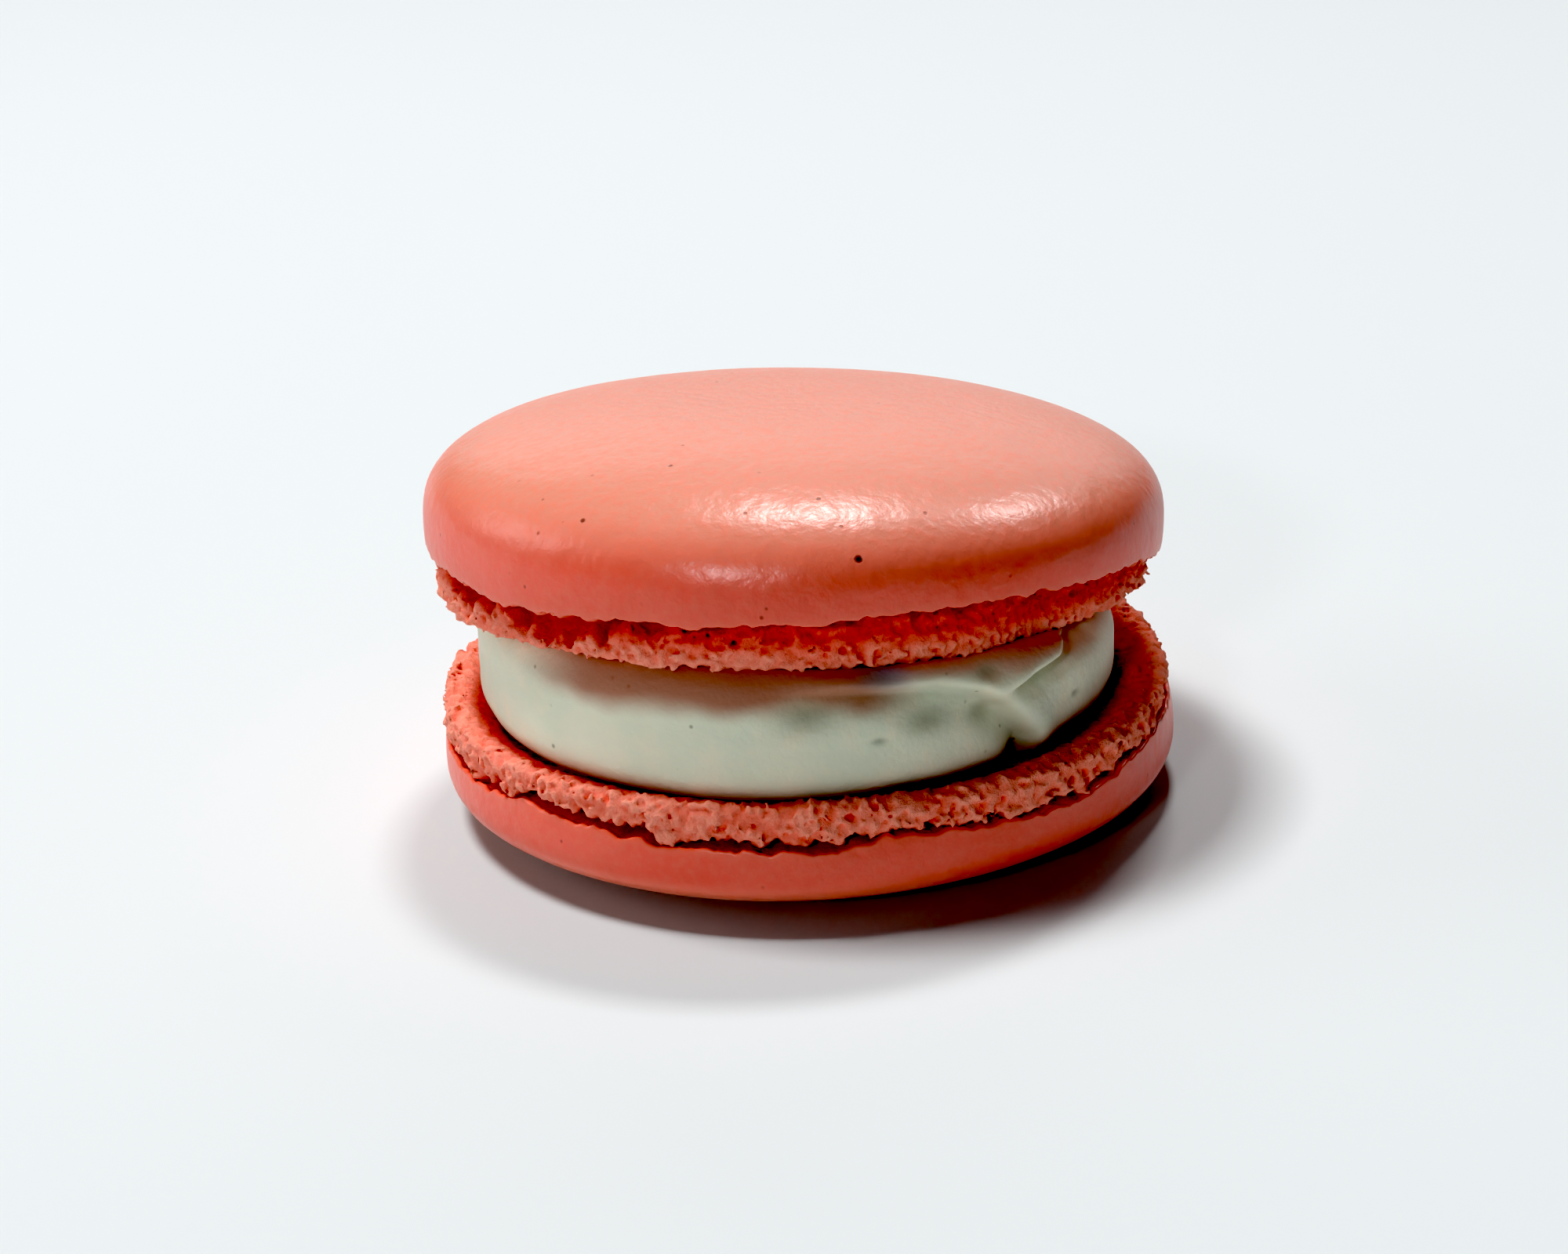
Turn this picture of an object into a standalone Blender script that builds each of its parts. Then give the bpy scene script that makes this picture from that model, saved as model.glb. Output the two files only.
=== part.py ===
"""A french macaron: a domed almond meringue shell on a disc of cream on a second, upturned shell.

Lengths are in metres and +Z is up. Angles in the tables are seen from above: 0 is the right side
(+X) and -90 is the front (-Y). Each shell is modelled with its crumb face at z = 0 and its dome up.
"""
import math
from dataclasses import dataclass

import bmesh
import bpy
from mathutils import Vector, noise

MM = 0.001

# How the three pieces stand on each other
GAP = 0.3 * MM
STAND_X = 0.16 * MM
STAND_Y = -0.48 * MM
TOP_SHIFT_X = -0.557 * MM
TOP_SHIFT_Y = 0.482 * MM
TOP_CRUMB_HEIGHT = 12.908 * MM
TOP_NOD = math.radians(-6.03)
TOP_LEAN = math.radians(2.94)

# Relief that both shells share
CRUMB_START = 16.8 * MM
DISH_EDGE = 18.6 * MM
CRUMB_RELIEF = 0.20 * MM
FOOT_RELIEF = 0.50 * MM
CRACK_RELIEF = 0.45 * MM
CRACK_RAGGED = 0.45
SKIN_EDGE_RELIEF = 0.10 * MM
LUMP_SIZE = 2.6 * MM
CRUMB_SIZE = 1.7 * MM
SKIN_THICKNESS = 0.45 * MM
RIM_TUCK = 0.039
OUTLINE_UNEVEN = 0.003
OUTLINE_WAVE = 16.0 * MM

# Points round each kind of ring
FINE = 120
MIDDLE = 60
COARSE = 30

# Rings of a shell: flat crumb face, crumb face near the foot, foot, crack and dome
INNER_FACE = 8.0 * MM
OUTER_FACE = 13.5 * MM
CRUMB_SHARES = (0.0, 0.30, 0.55, 0.78)
LIP_INSET = 0.15 * MM
LIP_HEIGHT = 0.06 * MM
FOOT_SWELLS = ((0.28 * MM, 0.28), (0.42 * MM, 0.65), (0.18 * MM, 1.0))
CRACK_SHARES = (0.20, 0.72)
SKIN_UNDERCUT = 0.12
FINE_TURNS = (0.0, 0.17, 0.35, 0.54, 0.74)
COARSER_TURNS = ((0.93, MIDDLE), (1.12, MIDDLE), (1.27, COARSE))

# Cream: centre, girth and the rounding of its lower and upper edge
CREAM_X = -0.54 * MM
CREAM_Y = -1.33 * MM
CREAM_RADIUS = 19.1 * MM
CREAM_LOW_ROUND = 2.1 * MM
CREAM_TOP_ROUND = 1.7 * MM
CREAM_TOP_DROP = 2.6 * MM
CREAM_WAVE = 0.14 * MM
CREAM_WAVE_SIZE = 7.0 * MM
CREAM_POINTS = 104
CREAM_STEPS_LOW = 5
CREAM_STEPS_SIDE = 4
CREAM_STEPS_TOP = 4
CREAM_INNER_FACE = 7.0 * MM
CREAM_OUTER_FACE = 13.0 * MM
FOLD_FADE = 0.2

FULL_TURN = 360.0
SKIN_EDGE_RING = len(CRUMB_SHARES) + 1 + len(FOOT_SWELLS) + len(CRACK_SHARES) + 1


@dataclass(frozen=True)
class ShellShape:
    """Sizes of one shell; each table holds (angle in degrees, value) pairs around it."""

    name: str
    radius: float
    height: float
    widest_height: float
    dome_power: float
    dish_depth: float
    crack_depth: float
    flat_radius: float
    upturned: bool
    noise_offset: float
    skin_edge: tuple
    foot_edge: tuple
    crack_opening: tuple


@dataclass(frozen=True)
class Fold:
    """A crease in the cream that runs through (angle, share of the cream's height) points."""

    path: tuple
    groove_start: float
    groove_end: float
    groove_width: float
    lip: float
    lip_width: float


TOP = ShellShape(
    name="top_shell",
    radius=22.26 * MM,
    height=11.42 * MM,
    widest_height=4.61 * MM,
    dome_power=2.57,
    dish_depth=0.0,
    crack_depth=1.3 * MM,
    flat_radius=2.6 * MM,
    upturned=False,
    noise_offset=11.0,
    skin_edge=((-165, 3.0), (-137, 2.55), (-100, 2.9), (-72, 3.7), (-34, 3.8), (-5, 3.1),
               (60, 3.3), (130, 2.9)),
    foot_edge=((-172, 20.9), (-147, 21.1), (-125, 20.4), (-90, 19.7), (-66, 19.2), (-43, 18.2),
               (-16, 19.6), (2, 21.0), (60, 20.9), (120, 20.6)),
    crack_opening=((-160, 1.2), (-133, 1.9), (-112, 1.3), (-90, 0.9), (-66, 1.0), (-40, 1.2),
                   (-8, 0.9), (70, 1.2), (140, 0.8)),
)
BOTTOM = ShellShape(
    name="bottom_shell",
    radius=22.27 * MM,
    height=7.76 * MM,
    widest_height=4.17 * MM,
    dome_power=2.83,
    dish_depth=0.8 * MM,
    crack_depth=0.9 * MM,
    flat_radius=6.0 * MM,
    upturned=True,
    noise_offset=47.0,
    skin_edge=((-157, 2.65), (-133, 2.1), (-112, 2.5), (-93, 2.75), (-77, 2.15), (-48, 2.8),
               (-19, 2.1), (60, 2.6), (130, 2.3)),
    foot_edge=((-150, 21.4), (-90, 21.3), (-45, 21.5), (0, 21.2), (90, 21.4)),
    crack_opening=((-155, 0.7), (-127, 0.8), (-112, 0.45), (-97, 0.7), (-80, 0.45), (-52, 0.8),
                   (-30, 0.9), (60, 0.6), (130, 0.5)),
)
UPPER_FOLD = Fold(
    path=((-98, 0.83), (-82, 0.82), (-66, 0.79), (-58, 0.69), (-52, 0.49), (-48, 0.24), (-47, 0.0)),
    groove_start=0.15 * MM,
    groove_end=1.15 * MM,
    groove_width=0.85 * MM,
    lip=0.30 * MM,
    lip_width=1.0 * MM,
)
SIDE_FOLD = Fold(
    path=((-24, 1.0), (-34, 0.92), (-38, 0.80), (-46, 0.74), (-52, 0.58)),
    groove_start=0.55 * MM,
    groove_end=0.25 * MM,
    groove_width=0.70 * MM,
    lip=0.40 * MM,
    lip_width=0.9 * MM,
)

SHELL_COLOUR = (0.72, 0.17, 0.10, 1.0)
CREAM_COLOUR = (0.56, 0.58, 0.44, 1.0)


def ease(share):
    """Smooth step from 0 to 1 with level ends."""
    share = min(max(share, 0.0), 1.0)
    return share * share * (3.0 - 2.0 * share)


def around(table, angle):
    """Value at an angle in degrees of a table that closes on itself after a full turn."""
    first, last = table[0], table[-1]
    points = table + ((first[0] + FULL_TURN, first[1]),)
    while angle < first[0]:
        angle += FULL_TURN
    while angle >= first[0] + FULL_TURN:
        angle -= FULL_TURN
    for (start, low), (end, high) in zip(points, points[1:]):
        if angle <= end:
            return low + (high - low) * ease((angle - start) / (end - start))
    return last[1]


def bumps(point, size, offset):
    """Smooth noise from about -1 to 1 at a point, with lumps of the given size."""
    return noise.noise(point / size + Vector((offset, offset, offset)))


def clear_scene():
    """Remove every object, so that the part starts from an empty scene."""
    for thing in list(bpy.data.objects):
        bpy.data.objects.remove(thing, do_unlink=True)


def food_material(name, colour, roughness):
    """A plain Principled finish."""
    material = bpy.data.materials.new(name)
    material.use_nodes = True
    shader = material.node_tree.nodes["Principled BSDF"]
    shader.inputs["Base Color"].default_value = colour
    shader.inputs["Roughness"].default_value = roughness
    shader.inputs["Metallic"].default_value = 0.0
    return material


def join_rings(mesh, low, high):
    """Face the band between two rings, of equal counts, of counts 2 to 1, or with a single point."""
    if len(low) < len(high):
        low, high = high, low
    many, few = len(low), len(high)
    for k in range(many):
        after = (k + 1) % many
        if few == 1:
            mesh.faces.new((low[k], low[after], high[0]))
        elif few == many:
            mesh.faces.new((low[k], low[after], high[after], high[k]))
        elif k % 2 == 0:
            near = high[k // 2]
            far = high[(k // 2 + 1) % few]
            mesh.faces.new((low[k], low[after], near))
            mesh.faces.new((low[after], far, near))
            mesh.faces.new((low[after], low[(k + 2) % many], far))


def turned_body(name, rings, material):
    """Closed object from rings of points that run from its lower centre to its upper centre."""
    mesh = bmesh.new()
    loops = [[mesh.verts.new(point) for point in ring] for ring in rings]
    for low, high in zip(loops, loops[1:]):
        join_rings(mesh, low, high)
    bmesh.ops.triangulate(mesh, faces=mesh.faces, quad_method="SHORT_EDGE")
    bmesh.ops.recalc_face_normals(mesh, faces=mesh.faces)
    data = bpy.data.meshes.new(name)
    mesh.to_mesh(data)
    mesh.free()
    data.shade_smooth()
    data.set_sharp_from_angle(angle=math.radians(50.0))
    data.materials.append(material)
    body = bpy.data.objects.new(name, data)
    bpy.context.scene.collection.objects.link(body)
    return body


def dome_radius(shape, height):
    """Radius of the smooth skin at a height between its lower edge and the dome's top."""
    if height < shape.widest_height:
        drop = (shape.widest_height - height) / shape.widest_height
        return shape.radius * (1.0 - RIM_TUCK * drop * drop)
    share = (height - shape.widest_height) / (shape.height - shape.widest_height)
    power = shape.dome_power
    return shape.radius * max(0.0, 1.0 - min(1.0, share) ** power) ** (1.0 / power)


def dome_point(shape, turn):
    """Radius and height of the dome where turn goes from 0 at its widest to pi / 2 at its top."""
    power = 2.0 / shape.dome_power
    rise = shape.height - shape.widest_height
    return shape.radius * math.cos(turn) ** power, shape.widest_height + rise * math.sin(turn) ** power


def ring_of(count, profile):
    """Ring of points; profile gives the radius and height at each angle in degrees."""
    points = []
    for k in range(count):
        angle = FULL_TURN * k / count
        radius, height = profile(angle)
        turn = math.radians(angle)
        points.append(Vector((radius * math.cos(turn), radius * math.sin(turn), height)))
    return points


def dish_height(shape, radius, foot):
    """Height of the hollow crumb face, which rises to z = 0 at the foot's lip."""
    return shape.dish_depth * (1.0 - ease((radius - DISH_EDGE) / (foot - DISH_EDGE)))


def rim_spot(shape, angle):
    """Point on the shell's rim at an angle, to read the noise from."""
    turn = math.radians(angle)
    return Vector((math.cos(turn), math.sin(turn), 0.0)) * shape.radius


def shell_section(shape, angle):
    """Fine rings of one shell at an angle, as (radius, height, radial relief, upward relief)."""
    seen = -angle if shape.upturned else angle
    foot = around(shape.foot_edge, seen) * MM
    edge = around(shape.skin_edge, seen) * MM
    ragged = 1.0 + CRACK_RAGGED * bumps(rim_spot(shape, angle), LUMP_SIZE, shape.noise_offset + 2.0)
    opening = around(shape.crack_opening, seen) * ragged * MM
    ledge = edge - opening
    floor = foot - shape.crack_depth
    skin = dome_radius(shape, edge)
    section = []
    for share in CRUMB_SHARES:
        radius = CRUMB_START + (foot - CRUMB_START) * share
        relief = CRUMB_RELIEF if share > 0.0 else 0.0
        section.append((radius, dish_height(shape, radius, foot), 0.0, relief))
    section.append((foot - LIP_INSET, LIP_HEIGHT, 0.3 * FOOT_RELIEF, 0.4 * CRUMB_RELIEF))
    for swell, share in FOOT_SWELLS:
        section.append((foot + swell, ledge * share, FOOT_RELIEF, 0.0))
    for share in CRACK_SHARES:
        section.append((floor, ledge + opening * share, CRACK_RELIEF, 0.0))
    section.append((skin - SKIN_THICKNESS, edge - SKIN_UNDERCUT * opening, 0.0, 0.0))
    section.append((skin, edge, 0.0, 0.0))
    lift = 0.5 * (edge + shape.widest_height)
    section.append((dome_radius(shape, lift), lift, 0.0, 0.0))
    for turn in FINE_TURNS:
        radius, height = dome_point(shape, turn)
        section.append((radius, height, 0.0, 0.0))
    return section


def uneven(shape, radius, angle):
    """Radius with the shell's slight departure from a true circle."""
    return radius * (1.0 + OUTLINE_UNEVEN * bumps(rim_spot(shape, angle), OUTLINE_WAVE, shape.noise_offset))


def shell_ring(shape, index):
    """One fine ring of a shell with its crumb, foot or crack relief."""
    ring = []
    for k in range(FINE):
        angle = FULL_TURN * k / FINE
        radius, height, outward, upward = shell_section(shape, angle)[index]
        turn = math.radians(angle)
        spot = Vector((radius * math.cos(turn), radius * math.sin(turn), height))
        lump = bumps(spot, LUMP_SIZE, shape.noise_offset) + 0.5 * bumps(spot, CRUMB_SIZE, shape.noise_offset)
        pore = max(0.0, bumps(spot, CRUMB_SIZE, shape.noise_offset + 5.0))
        tear = bumps(spot, LUMP_SIZE, shape.noise_offset + 9.0) * SKIN_EDGE_RELIEF
        radius = uneven(shape, radius + outward * lump, angle)
        height += upward * pore
        if index == SKIN_EDGE_RING:
            height += tear
        ring.append(Vector((radius * math.cos(turn), radius * math.sin(turn), height)))
    return ring


def build_shell(shape, material):
    """A shell: hollow crumb face, ruffled foot, torn crack and smooth dome."""
    level = shape.dish_depth
    rings = [[Vector((0.0, 0.0, level))]]
    rings.append(ring_of(COARSE, lambda angle: (INNER_FACE, level)))
    rings.append(ring_of(MIDDLE, lambda angle: (OUTER_FACE, level)))
    for index in range(len(shell_section(shape, 0.0))):
        rings.append(shell_ring(shape, index))
    for turn, count in COARSER_TURNS:
        radius, height = dome_point(shape, turn)
        rings.append(ring_of(count, lambda angle: (uneven(shape, radius, angle), height)))
    rings.append(ring_of(COARSE, lambda angle: (shape.flat_radius, shape.height)))
    rings.append([Vector((0.0, 0.0, shape.height))])
    return turned_body(shape.name, rings, material)


def top_crumb_plane(x, y):
    """Height of the tilted top shell's crumb plane above a point."""
    slope_x = -math.tan(TOP_LEAN) / math.cos(TOP_NOD)
    slope_y = math.tan(TOP_NOD)
    return TOP_CRUMB_HEIGHT + slope_x * (x - TOP_SHIFT_X) + slope_y * (y - TOP_SHIFT_Y)


def fold_relief(fold, across, up, base, thickness_at):
    """Relief of one crease at a point of the unrolled cream side, in metres outwards."""
    nearest = None
    knots = []
    for angle, share in fold.path:
        knots.append((math.radians(angle) * CREAM_RADIUS, base + share * thickness_at(angle)))
    for step, (start, end) in enumerate(zip(knots, knots[1:])):
        run_x, run_y = end[0] - start[0], end[1] - start[1]
        length = math.hypot(run_x, run_y)
        along = ((across - start[0]) * run_x + (up - start[1]) * run_y) / (length * length)
        along = min(max(along, 0.0), 1.0)
        off_x = across - start[0] - along * run_x
        off_y = up - start[1] - along * run_y
        distance = math.hypot(off_x, off_y)
        side = 1.0 if run_x * off_y - run_y * off_x > 0.0 else -1.0
        if nearest is None or distance < nearest[0]:
            nearest = (distance, side, (step + along) / (len(knots) - 1))
    distance, side, share = nearest
    depth = fold.groove_start + (fold.groove_end - fold.groove_start) * share
    ends = ease((share if fold.groove_start < fold.groove_end else 1.0 - share) / FOLD_FADE)
    groove = depth * math.exp(-((distance / fold.groove_width) ** 2))
    crest = fold.lip * math.exp(-(((distance - fold.lip_width) / fold.lip_width) ** 2))
    upper_side = side > 0.0 if fold.path[0][0] < fold.path[-1][0] else side < 0.0
    return ends * ((crest if upper_side else 0.0) - groove)


def cream_ring(step):
    """One ring of the cream's rounded, folded side."""
    base = BOTTOM.height - BOTTOM.dish_depth + GAP

    def thickness_at(angle):
        turn = math.radians(angle)
        x = CREAM_X + CREAM_RADIUS * math.cos(turn)
        y = CREAM_Y + CREAM_RADIUS * math.sin(turn)
        return top_crumb_plane(x, y) - GAP - base

    ring = []
    for k in range(CREAM_POINTS):
        angle = FULL_TURN * k / CREAM_POINTS - 180.0
        turn = math.radians(angle)
        thick = thickness_at(angle)
        low = min(CREAM_LOW_ROUND, 0.5 * thick)
        top = min(CREAM_TOP_DROP, 0.4 * thick)
        if step < CREAM_STEPS_LOW:
            bend = 0.5 * math.pi * step / CREAM_STEPS_LOW
            radius = CREAM_RADIUS - CREAM_LOW_ROUND * (1.0 - math.sin(bend))
            height = low * (1.0 - math.cos(bend))
        elif step <= CREAM_STEPS_LOW + CREAM_STEPS_SIDE:
            share = (step - CREAM_STEPS_LOW) / CREAM_STEPS_SIDE
            radius = CREAM_RADIUS
            height = low + (thick - low - top) * share
        else:
            bend = 0.5 * math.pi * (step - CREAM_STEPS_LOW - CREAM_STEPS_SIDE) / CREAM_STEPS_TOP
            radius = CREAM_RADIUS - CREAM_TOP_ROUND * (1.0 - math.cos(bend))
            height = thick - top * (1.0 - math.sin(bend))
        if 0 < step < CREAM_STEPS_LOW + CREAM_STEPS_SIDE + CREAM_STEPS_TOP:
            across = turn * CREAM_RADIUS
            for fold in (UPPER_FOLD, SIDE_FOLD):
                radius += fold_relief(fold, across, base + height, base, thickness_at)
            spot = Vector((radius * math.cos(turn), radius * math.sin(turn), height))
            radius += CREAM_WAVE * bumps(spot, CREAM_WAVE_SIZE, 3.0)
        x = CREAM_X + radius * math.cos(turn)
        y = CREAM_Y + radius * math.sin(turn)
        ceiling = top_crumb_plane(x, y) - GAP
        ring.append(Vector((x, y, min(base + height, ceiling))))
    return ring


def cream_disc(count, radius, upper):
    """A ring of the cream's flat lower face or of its tilted upper face."""
    base = BOTTOM.height - BOTTOM.dish_depth + GAP
    points = []
    for k in range(count):
        turn = 2.0 * math.pi * k / count - math.pi
        x = CREAM_X + radius * math.cos(turn)
        y = CREAM_Y + radius * math.sin(turn)
        points.append(Vector((x, y, top_crumb_plane(x, y) - GAP if upper else base)))
    return points


def build_cream(material):
    """The cream: a thick disc with a rounded side, wedged between the two crumb faces."""
    half = CREAM_POINTS // 2
    faces = ((1, 0.0), (half // 2, CREAM_INNER_FACE), (half, CREAM_OUTER_FACE))
    rings = [cream_disc(count, radius, False) for count, radius in faces]
    for step in range(CREAM_STEPS_LOW + CREAM_STEPS_SIDE + CREAM_STEPS_TOP + 1):
        rings.append(cream_ring(step))
    rings += [cream_disc(count, radius, True) for count, radius in reversed(faces)]
    return turned_body("filling", rings, material)


def main():
    """Build the macaron and stand it over the origin."""
    clear_scene()
    shell_finish = food_material("baked_meringue", SHELL_COLOUR, 0.55)
    cream_finish = food_material("cream", CREAM_COLOUR, 0.60)
    stand = bpy.data.objects.new("macaron", None)
    stand.location = (STAND_X, STAND_Y, 0.0)
    bpy.context.scene.collection.objects.link(stand)

    bottom = build_shell(BOTTOM, shell_finish)
    bottom.rotation_euler = (math.pi, 0.0, 0.0)
    bottom.location = (0.0, 0.0, BOTTOM.height)

    filling = build_cream(cream_finish)

    top = build_shell(TOP, shell_finish)
    top.rotation_mode = "YXZ"
    top.rotation_euler = (TOP_NOD, TOP_LEAN, 0.0)
    top.location = (TOP_SHIFT_X, TOP_SHIFT_Y, TOP_CRUMB_HEIGHT)

    for piece in (bottom, filling, top):
        piece.parent = stand


main()
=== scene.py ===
"""A french macaron on a plain pale surface.

Two baked meringue shells, each a smooth skin over a craggy crumb, hold a thick round of cream.
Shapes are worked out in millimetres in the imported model's frame and written in metres.
"""
import itertools
import logging
import math
from collections.abc import Callable
from dataclasses import dataclass
from enum import Enum

import bmesh
import bpy
import numpy as np
from mathutils import Matrix, Vector


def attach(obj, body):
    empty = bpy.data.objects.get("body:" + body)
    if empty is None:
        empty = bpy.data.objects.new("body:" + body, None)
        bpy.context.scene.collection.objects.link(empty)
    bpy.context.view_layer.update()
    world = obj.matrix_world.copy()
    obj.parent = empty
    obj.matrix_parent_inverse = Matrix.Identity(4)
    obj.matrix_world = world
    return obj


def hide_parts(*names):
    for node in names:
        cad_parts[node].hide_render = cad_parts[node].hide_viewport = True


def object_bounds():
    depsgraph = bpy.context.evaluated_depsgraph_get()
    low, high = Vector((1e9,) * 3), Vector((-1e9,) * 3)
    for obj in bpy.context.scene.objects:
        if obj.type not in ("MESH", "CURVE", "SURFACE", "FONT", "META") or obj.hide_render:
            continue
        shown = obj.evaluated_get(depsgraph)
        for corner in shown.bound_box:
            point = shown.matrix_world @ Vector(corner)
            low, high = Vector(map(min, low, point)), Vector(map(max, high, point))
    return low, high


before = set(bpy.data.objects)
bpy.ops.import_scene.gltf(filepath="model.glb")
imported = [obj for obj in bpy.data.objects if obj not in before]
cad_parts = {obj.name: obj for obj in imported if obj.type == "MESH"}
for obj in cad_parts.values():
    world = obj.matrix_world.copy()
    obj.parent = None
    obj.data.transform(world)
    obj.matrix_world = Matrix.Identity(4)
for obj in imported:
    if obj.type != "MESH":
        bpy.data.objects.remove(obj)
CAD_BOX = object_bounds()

LOG = logging.getLogger("macaron")

MM = 0.001
FULL_TURN = 360.0
FRAME_WIDTH = 2000
SENSOR_WIDTH = 36.0
STAND = np.array([0.16, -0.48, 0.0])
RIM_STEPS = np.arange(-180.0, 180.01, 0.25)  # degrees
SPOT_CORE = 0.4  # share of a spot's reach that is fully dark
CREAM_CENTRE = (-0.54, -1.33)
CREAM_RADIUS = 19.1
BLUISH = (0.94, 0.99, 1.00)
BOX_LOW = np.array(CAD_BOX[0]) / MM
BOX_HIGH = np.array(CAD_BOX[1]) / MM
BODY = "root"

Triple = tuple[float, float, float]
Colour = Triple
Pair = tuple[float, float]
Band = Pair
Table = tuple[Pair, ...]
Pits = tuple[tuple[float, float, float, float], ...]


class Slot(Enum):
    """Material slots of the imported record."""

    SHELL = "shell"
    CREAM = "cream"


class LightUse(Enum):
    """What surfaces take from a light."""

    ALL = "all"
    MATT = "matt"
    GLOSS = "gloss"


class Draw(Enum):
    """Random draws of a shell, as steps from its seed."""

    FROTH = 0
    EDGE = 1
    CRACK = 2
    BUBBLES = 3
    SWELL = 4
    CRUMBLE = 5
    ROUGH = 6


class Mesh:
    """Helpers that turn arrays of points in millimetres into Blender objects."""

    @staticmethod
    def make(name: str, points: np.ndarray, faces: list, marks: dict[str, np.ndarray]) -> bpy.types.Object:
        """Build a smooth shaded object.

        Args:
            name: Object name.
            points: Corner points in millimetres, in the model's frame.
            faces: Corner numbers of each face.
            marks: Named values per point, for the finish to read.

        Returns:
            The new object, linked to the scene.
        """
        data = bpy.data.meshes.new(name)
        data.from_pydata((points * MM).tolist(), [], faces)
        thing = bpy.data.objects.new(name, data)
        for mark, values in marks.items():
            Mesh.mark(thing, mark, values)
        data.shade_smooth()
        bpy.context.scene.collection.objects.link(thing)
        return thing

    @staticmethod
    def ring_faces(rings: int, around_count: int) -> list:
        """Quads between rings that follow each other, closed round the turn.

        Args:
            rings: Number of rings.
            around_count: Points in each ring.

        Returns:
            Corner numbers of the quads.
        """
        low = np.arange(rings - 1)[:, None] * around_count
        high = low + around_count
        here = np.arange(around_count)[None, :]
        after = (here + 1) % around_count
        quads = np.stack([low + here, low + after, high + after, high + here], -1)
        return quads.reshape(-1, 4).tolist()

    @staticmethod
    def thin_out(thing: bpy.types.Object, most: int) -> None:
        """Collapse edges where the surface is plain until few enough triangles are left.

        Args:
            thing: Object to change.
            most: Largest number of triangles.
        """
        thing.data.calc_loop_triangles()
        count = len(thing.data.loop_triangles)
        if count <= most:
            return
        modifier = thing.modifiers.new("thin", "DECIMATE")
        modifier.ratio = most / count
        graph = bpy.context.evaluated_depsgraph_get()
        data = bpy.data.meshes.new_from_object(thing.evaluated_get(graph))
        thing.modifiers.clear()
        thing.data = data

    @staticmethod
    def points_of(thing: bpy.types.Object) -> np.ndarray:
        """Read an object's points.

        Args:
            thing: Object with a mesh.

        Returns:
            Its points in millimetres, one row each.
        """
        flat = np.empty(len(thing.data.vertices) * 3, np.float32)
        thing.data.vertices.foreach_get("co", flat)
        return flat.reshape(-1, 3) / MM

    @staticmethod
    def mark(thing: bpy.types.Object, name: str, values: np.ndarray) -> None:
        """Store one value per point."""
        layer = thing.data.attributes.new(name, "FLOAT", "POINT")
        layer.data.foreach_set("value", values.astype(np.float32))


def ease(share: np.ndarray) -> np.ndarray:
    """Smooth step from 0 to 1 with level ends."""
    share = np.clip(share, 0.0, 1.0)
    return share * share * (3.0 - 2.0 * share)


def bell(distance: np.ndarray, width: float) -> np.ndarray:
    """Bell curve of height 1 that falls off over the given width."""
    return np.exp(-((distance / width) ** 2))


def around(table: Table, angle: np.ndarray) -> np.ndarray:
    """Value of a table that closes on itself after a full turn.

    Args:
        table: Pairs of an angle in degrees, seen from above, and a value.
        angle: Angles in degrees.

    Returns:
        The eased value at each angle.
    """
    knots = np.array(table + ((table[0][0] + FULL_TURN, table[0][1]),))
    turned = (angle - knots[0, 0]) % FULL_TURN + knots[0, 0]
    span = np.clip(np.searchsorted(knots[:, 0], turned, side="right") - 1, 0, len(knots) - 2)
    start, end = knots[span], knots[span + 1]
    share = ease((turned - start[..., 0]) / (end[..., 0] - start[..., 0]))
    return start[..., 1] + (end[..., 1] - start[..., 1]) * share


@dataclass(frozen=True)
class Lumps:
    """Seeded noise in three dimensions.

    Attributes:
        seed: Draw of the random lattice.
        sizes: Size of the lumps in millimetres, one for each layer.
        shares: Height of each layer.
        cells: Lattice cells along each axis before the noise repeats.
        turns: Range of each layer's turn, in radians.
    """

    seed: int
    sizes: tuple[float, ...]
    shares: tuple[float, ...]
    cells: int = 48
    turns: Band = (0.4, 1.2)

    def at(self, points: np.ndarray) -> np.ndarray:
        """Noise at points.

        Args:
            points: Places in millimetres, one row each.

        Returns:
            The sum of the layers at each place.
        """
        draw = np.random.default_rng(self.seed)
        total = np.zeros(len(points), np.float32)
        for size, share in zip(self.sizes, self.shares):
            lattice = draw.uniform(-1.0, 1.0, (self.cells,) * 3).astype(np.float32)
            bend = draw.uniform(*self.turns)
            turn = np.array(Matrix.Rotation(bend, 3, Vector(draw.uniform(0.2, 1.0, 3))))
            spot = (points @ turn.T) / size + draw.uniform(0.0, self.cells, 3)
            cell = np.floor(spot).astype(np.int64)
            part = ease(spot - cell)
            for corner in itertools.product((0, 1), repeat=3):
                weight = np.ones(len(points))
                for axis, bit in enumerate(corner):
                    weight = weight * (part[:, axis] if bit else 1.0 - part[:, axis])
                index = (cell + np.array(corner)) % self.cells
                total += (share * weight * lattice[index[:, 0], index[:, 1], index[:, 2]]).astype(np.float32)
        return total


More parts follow.
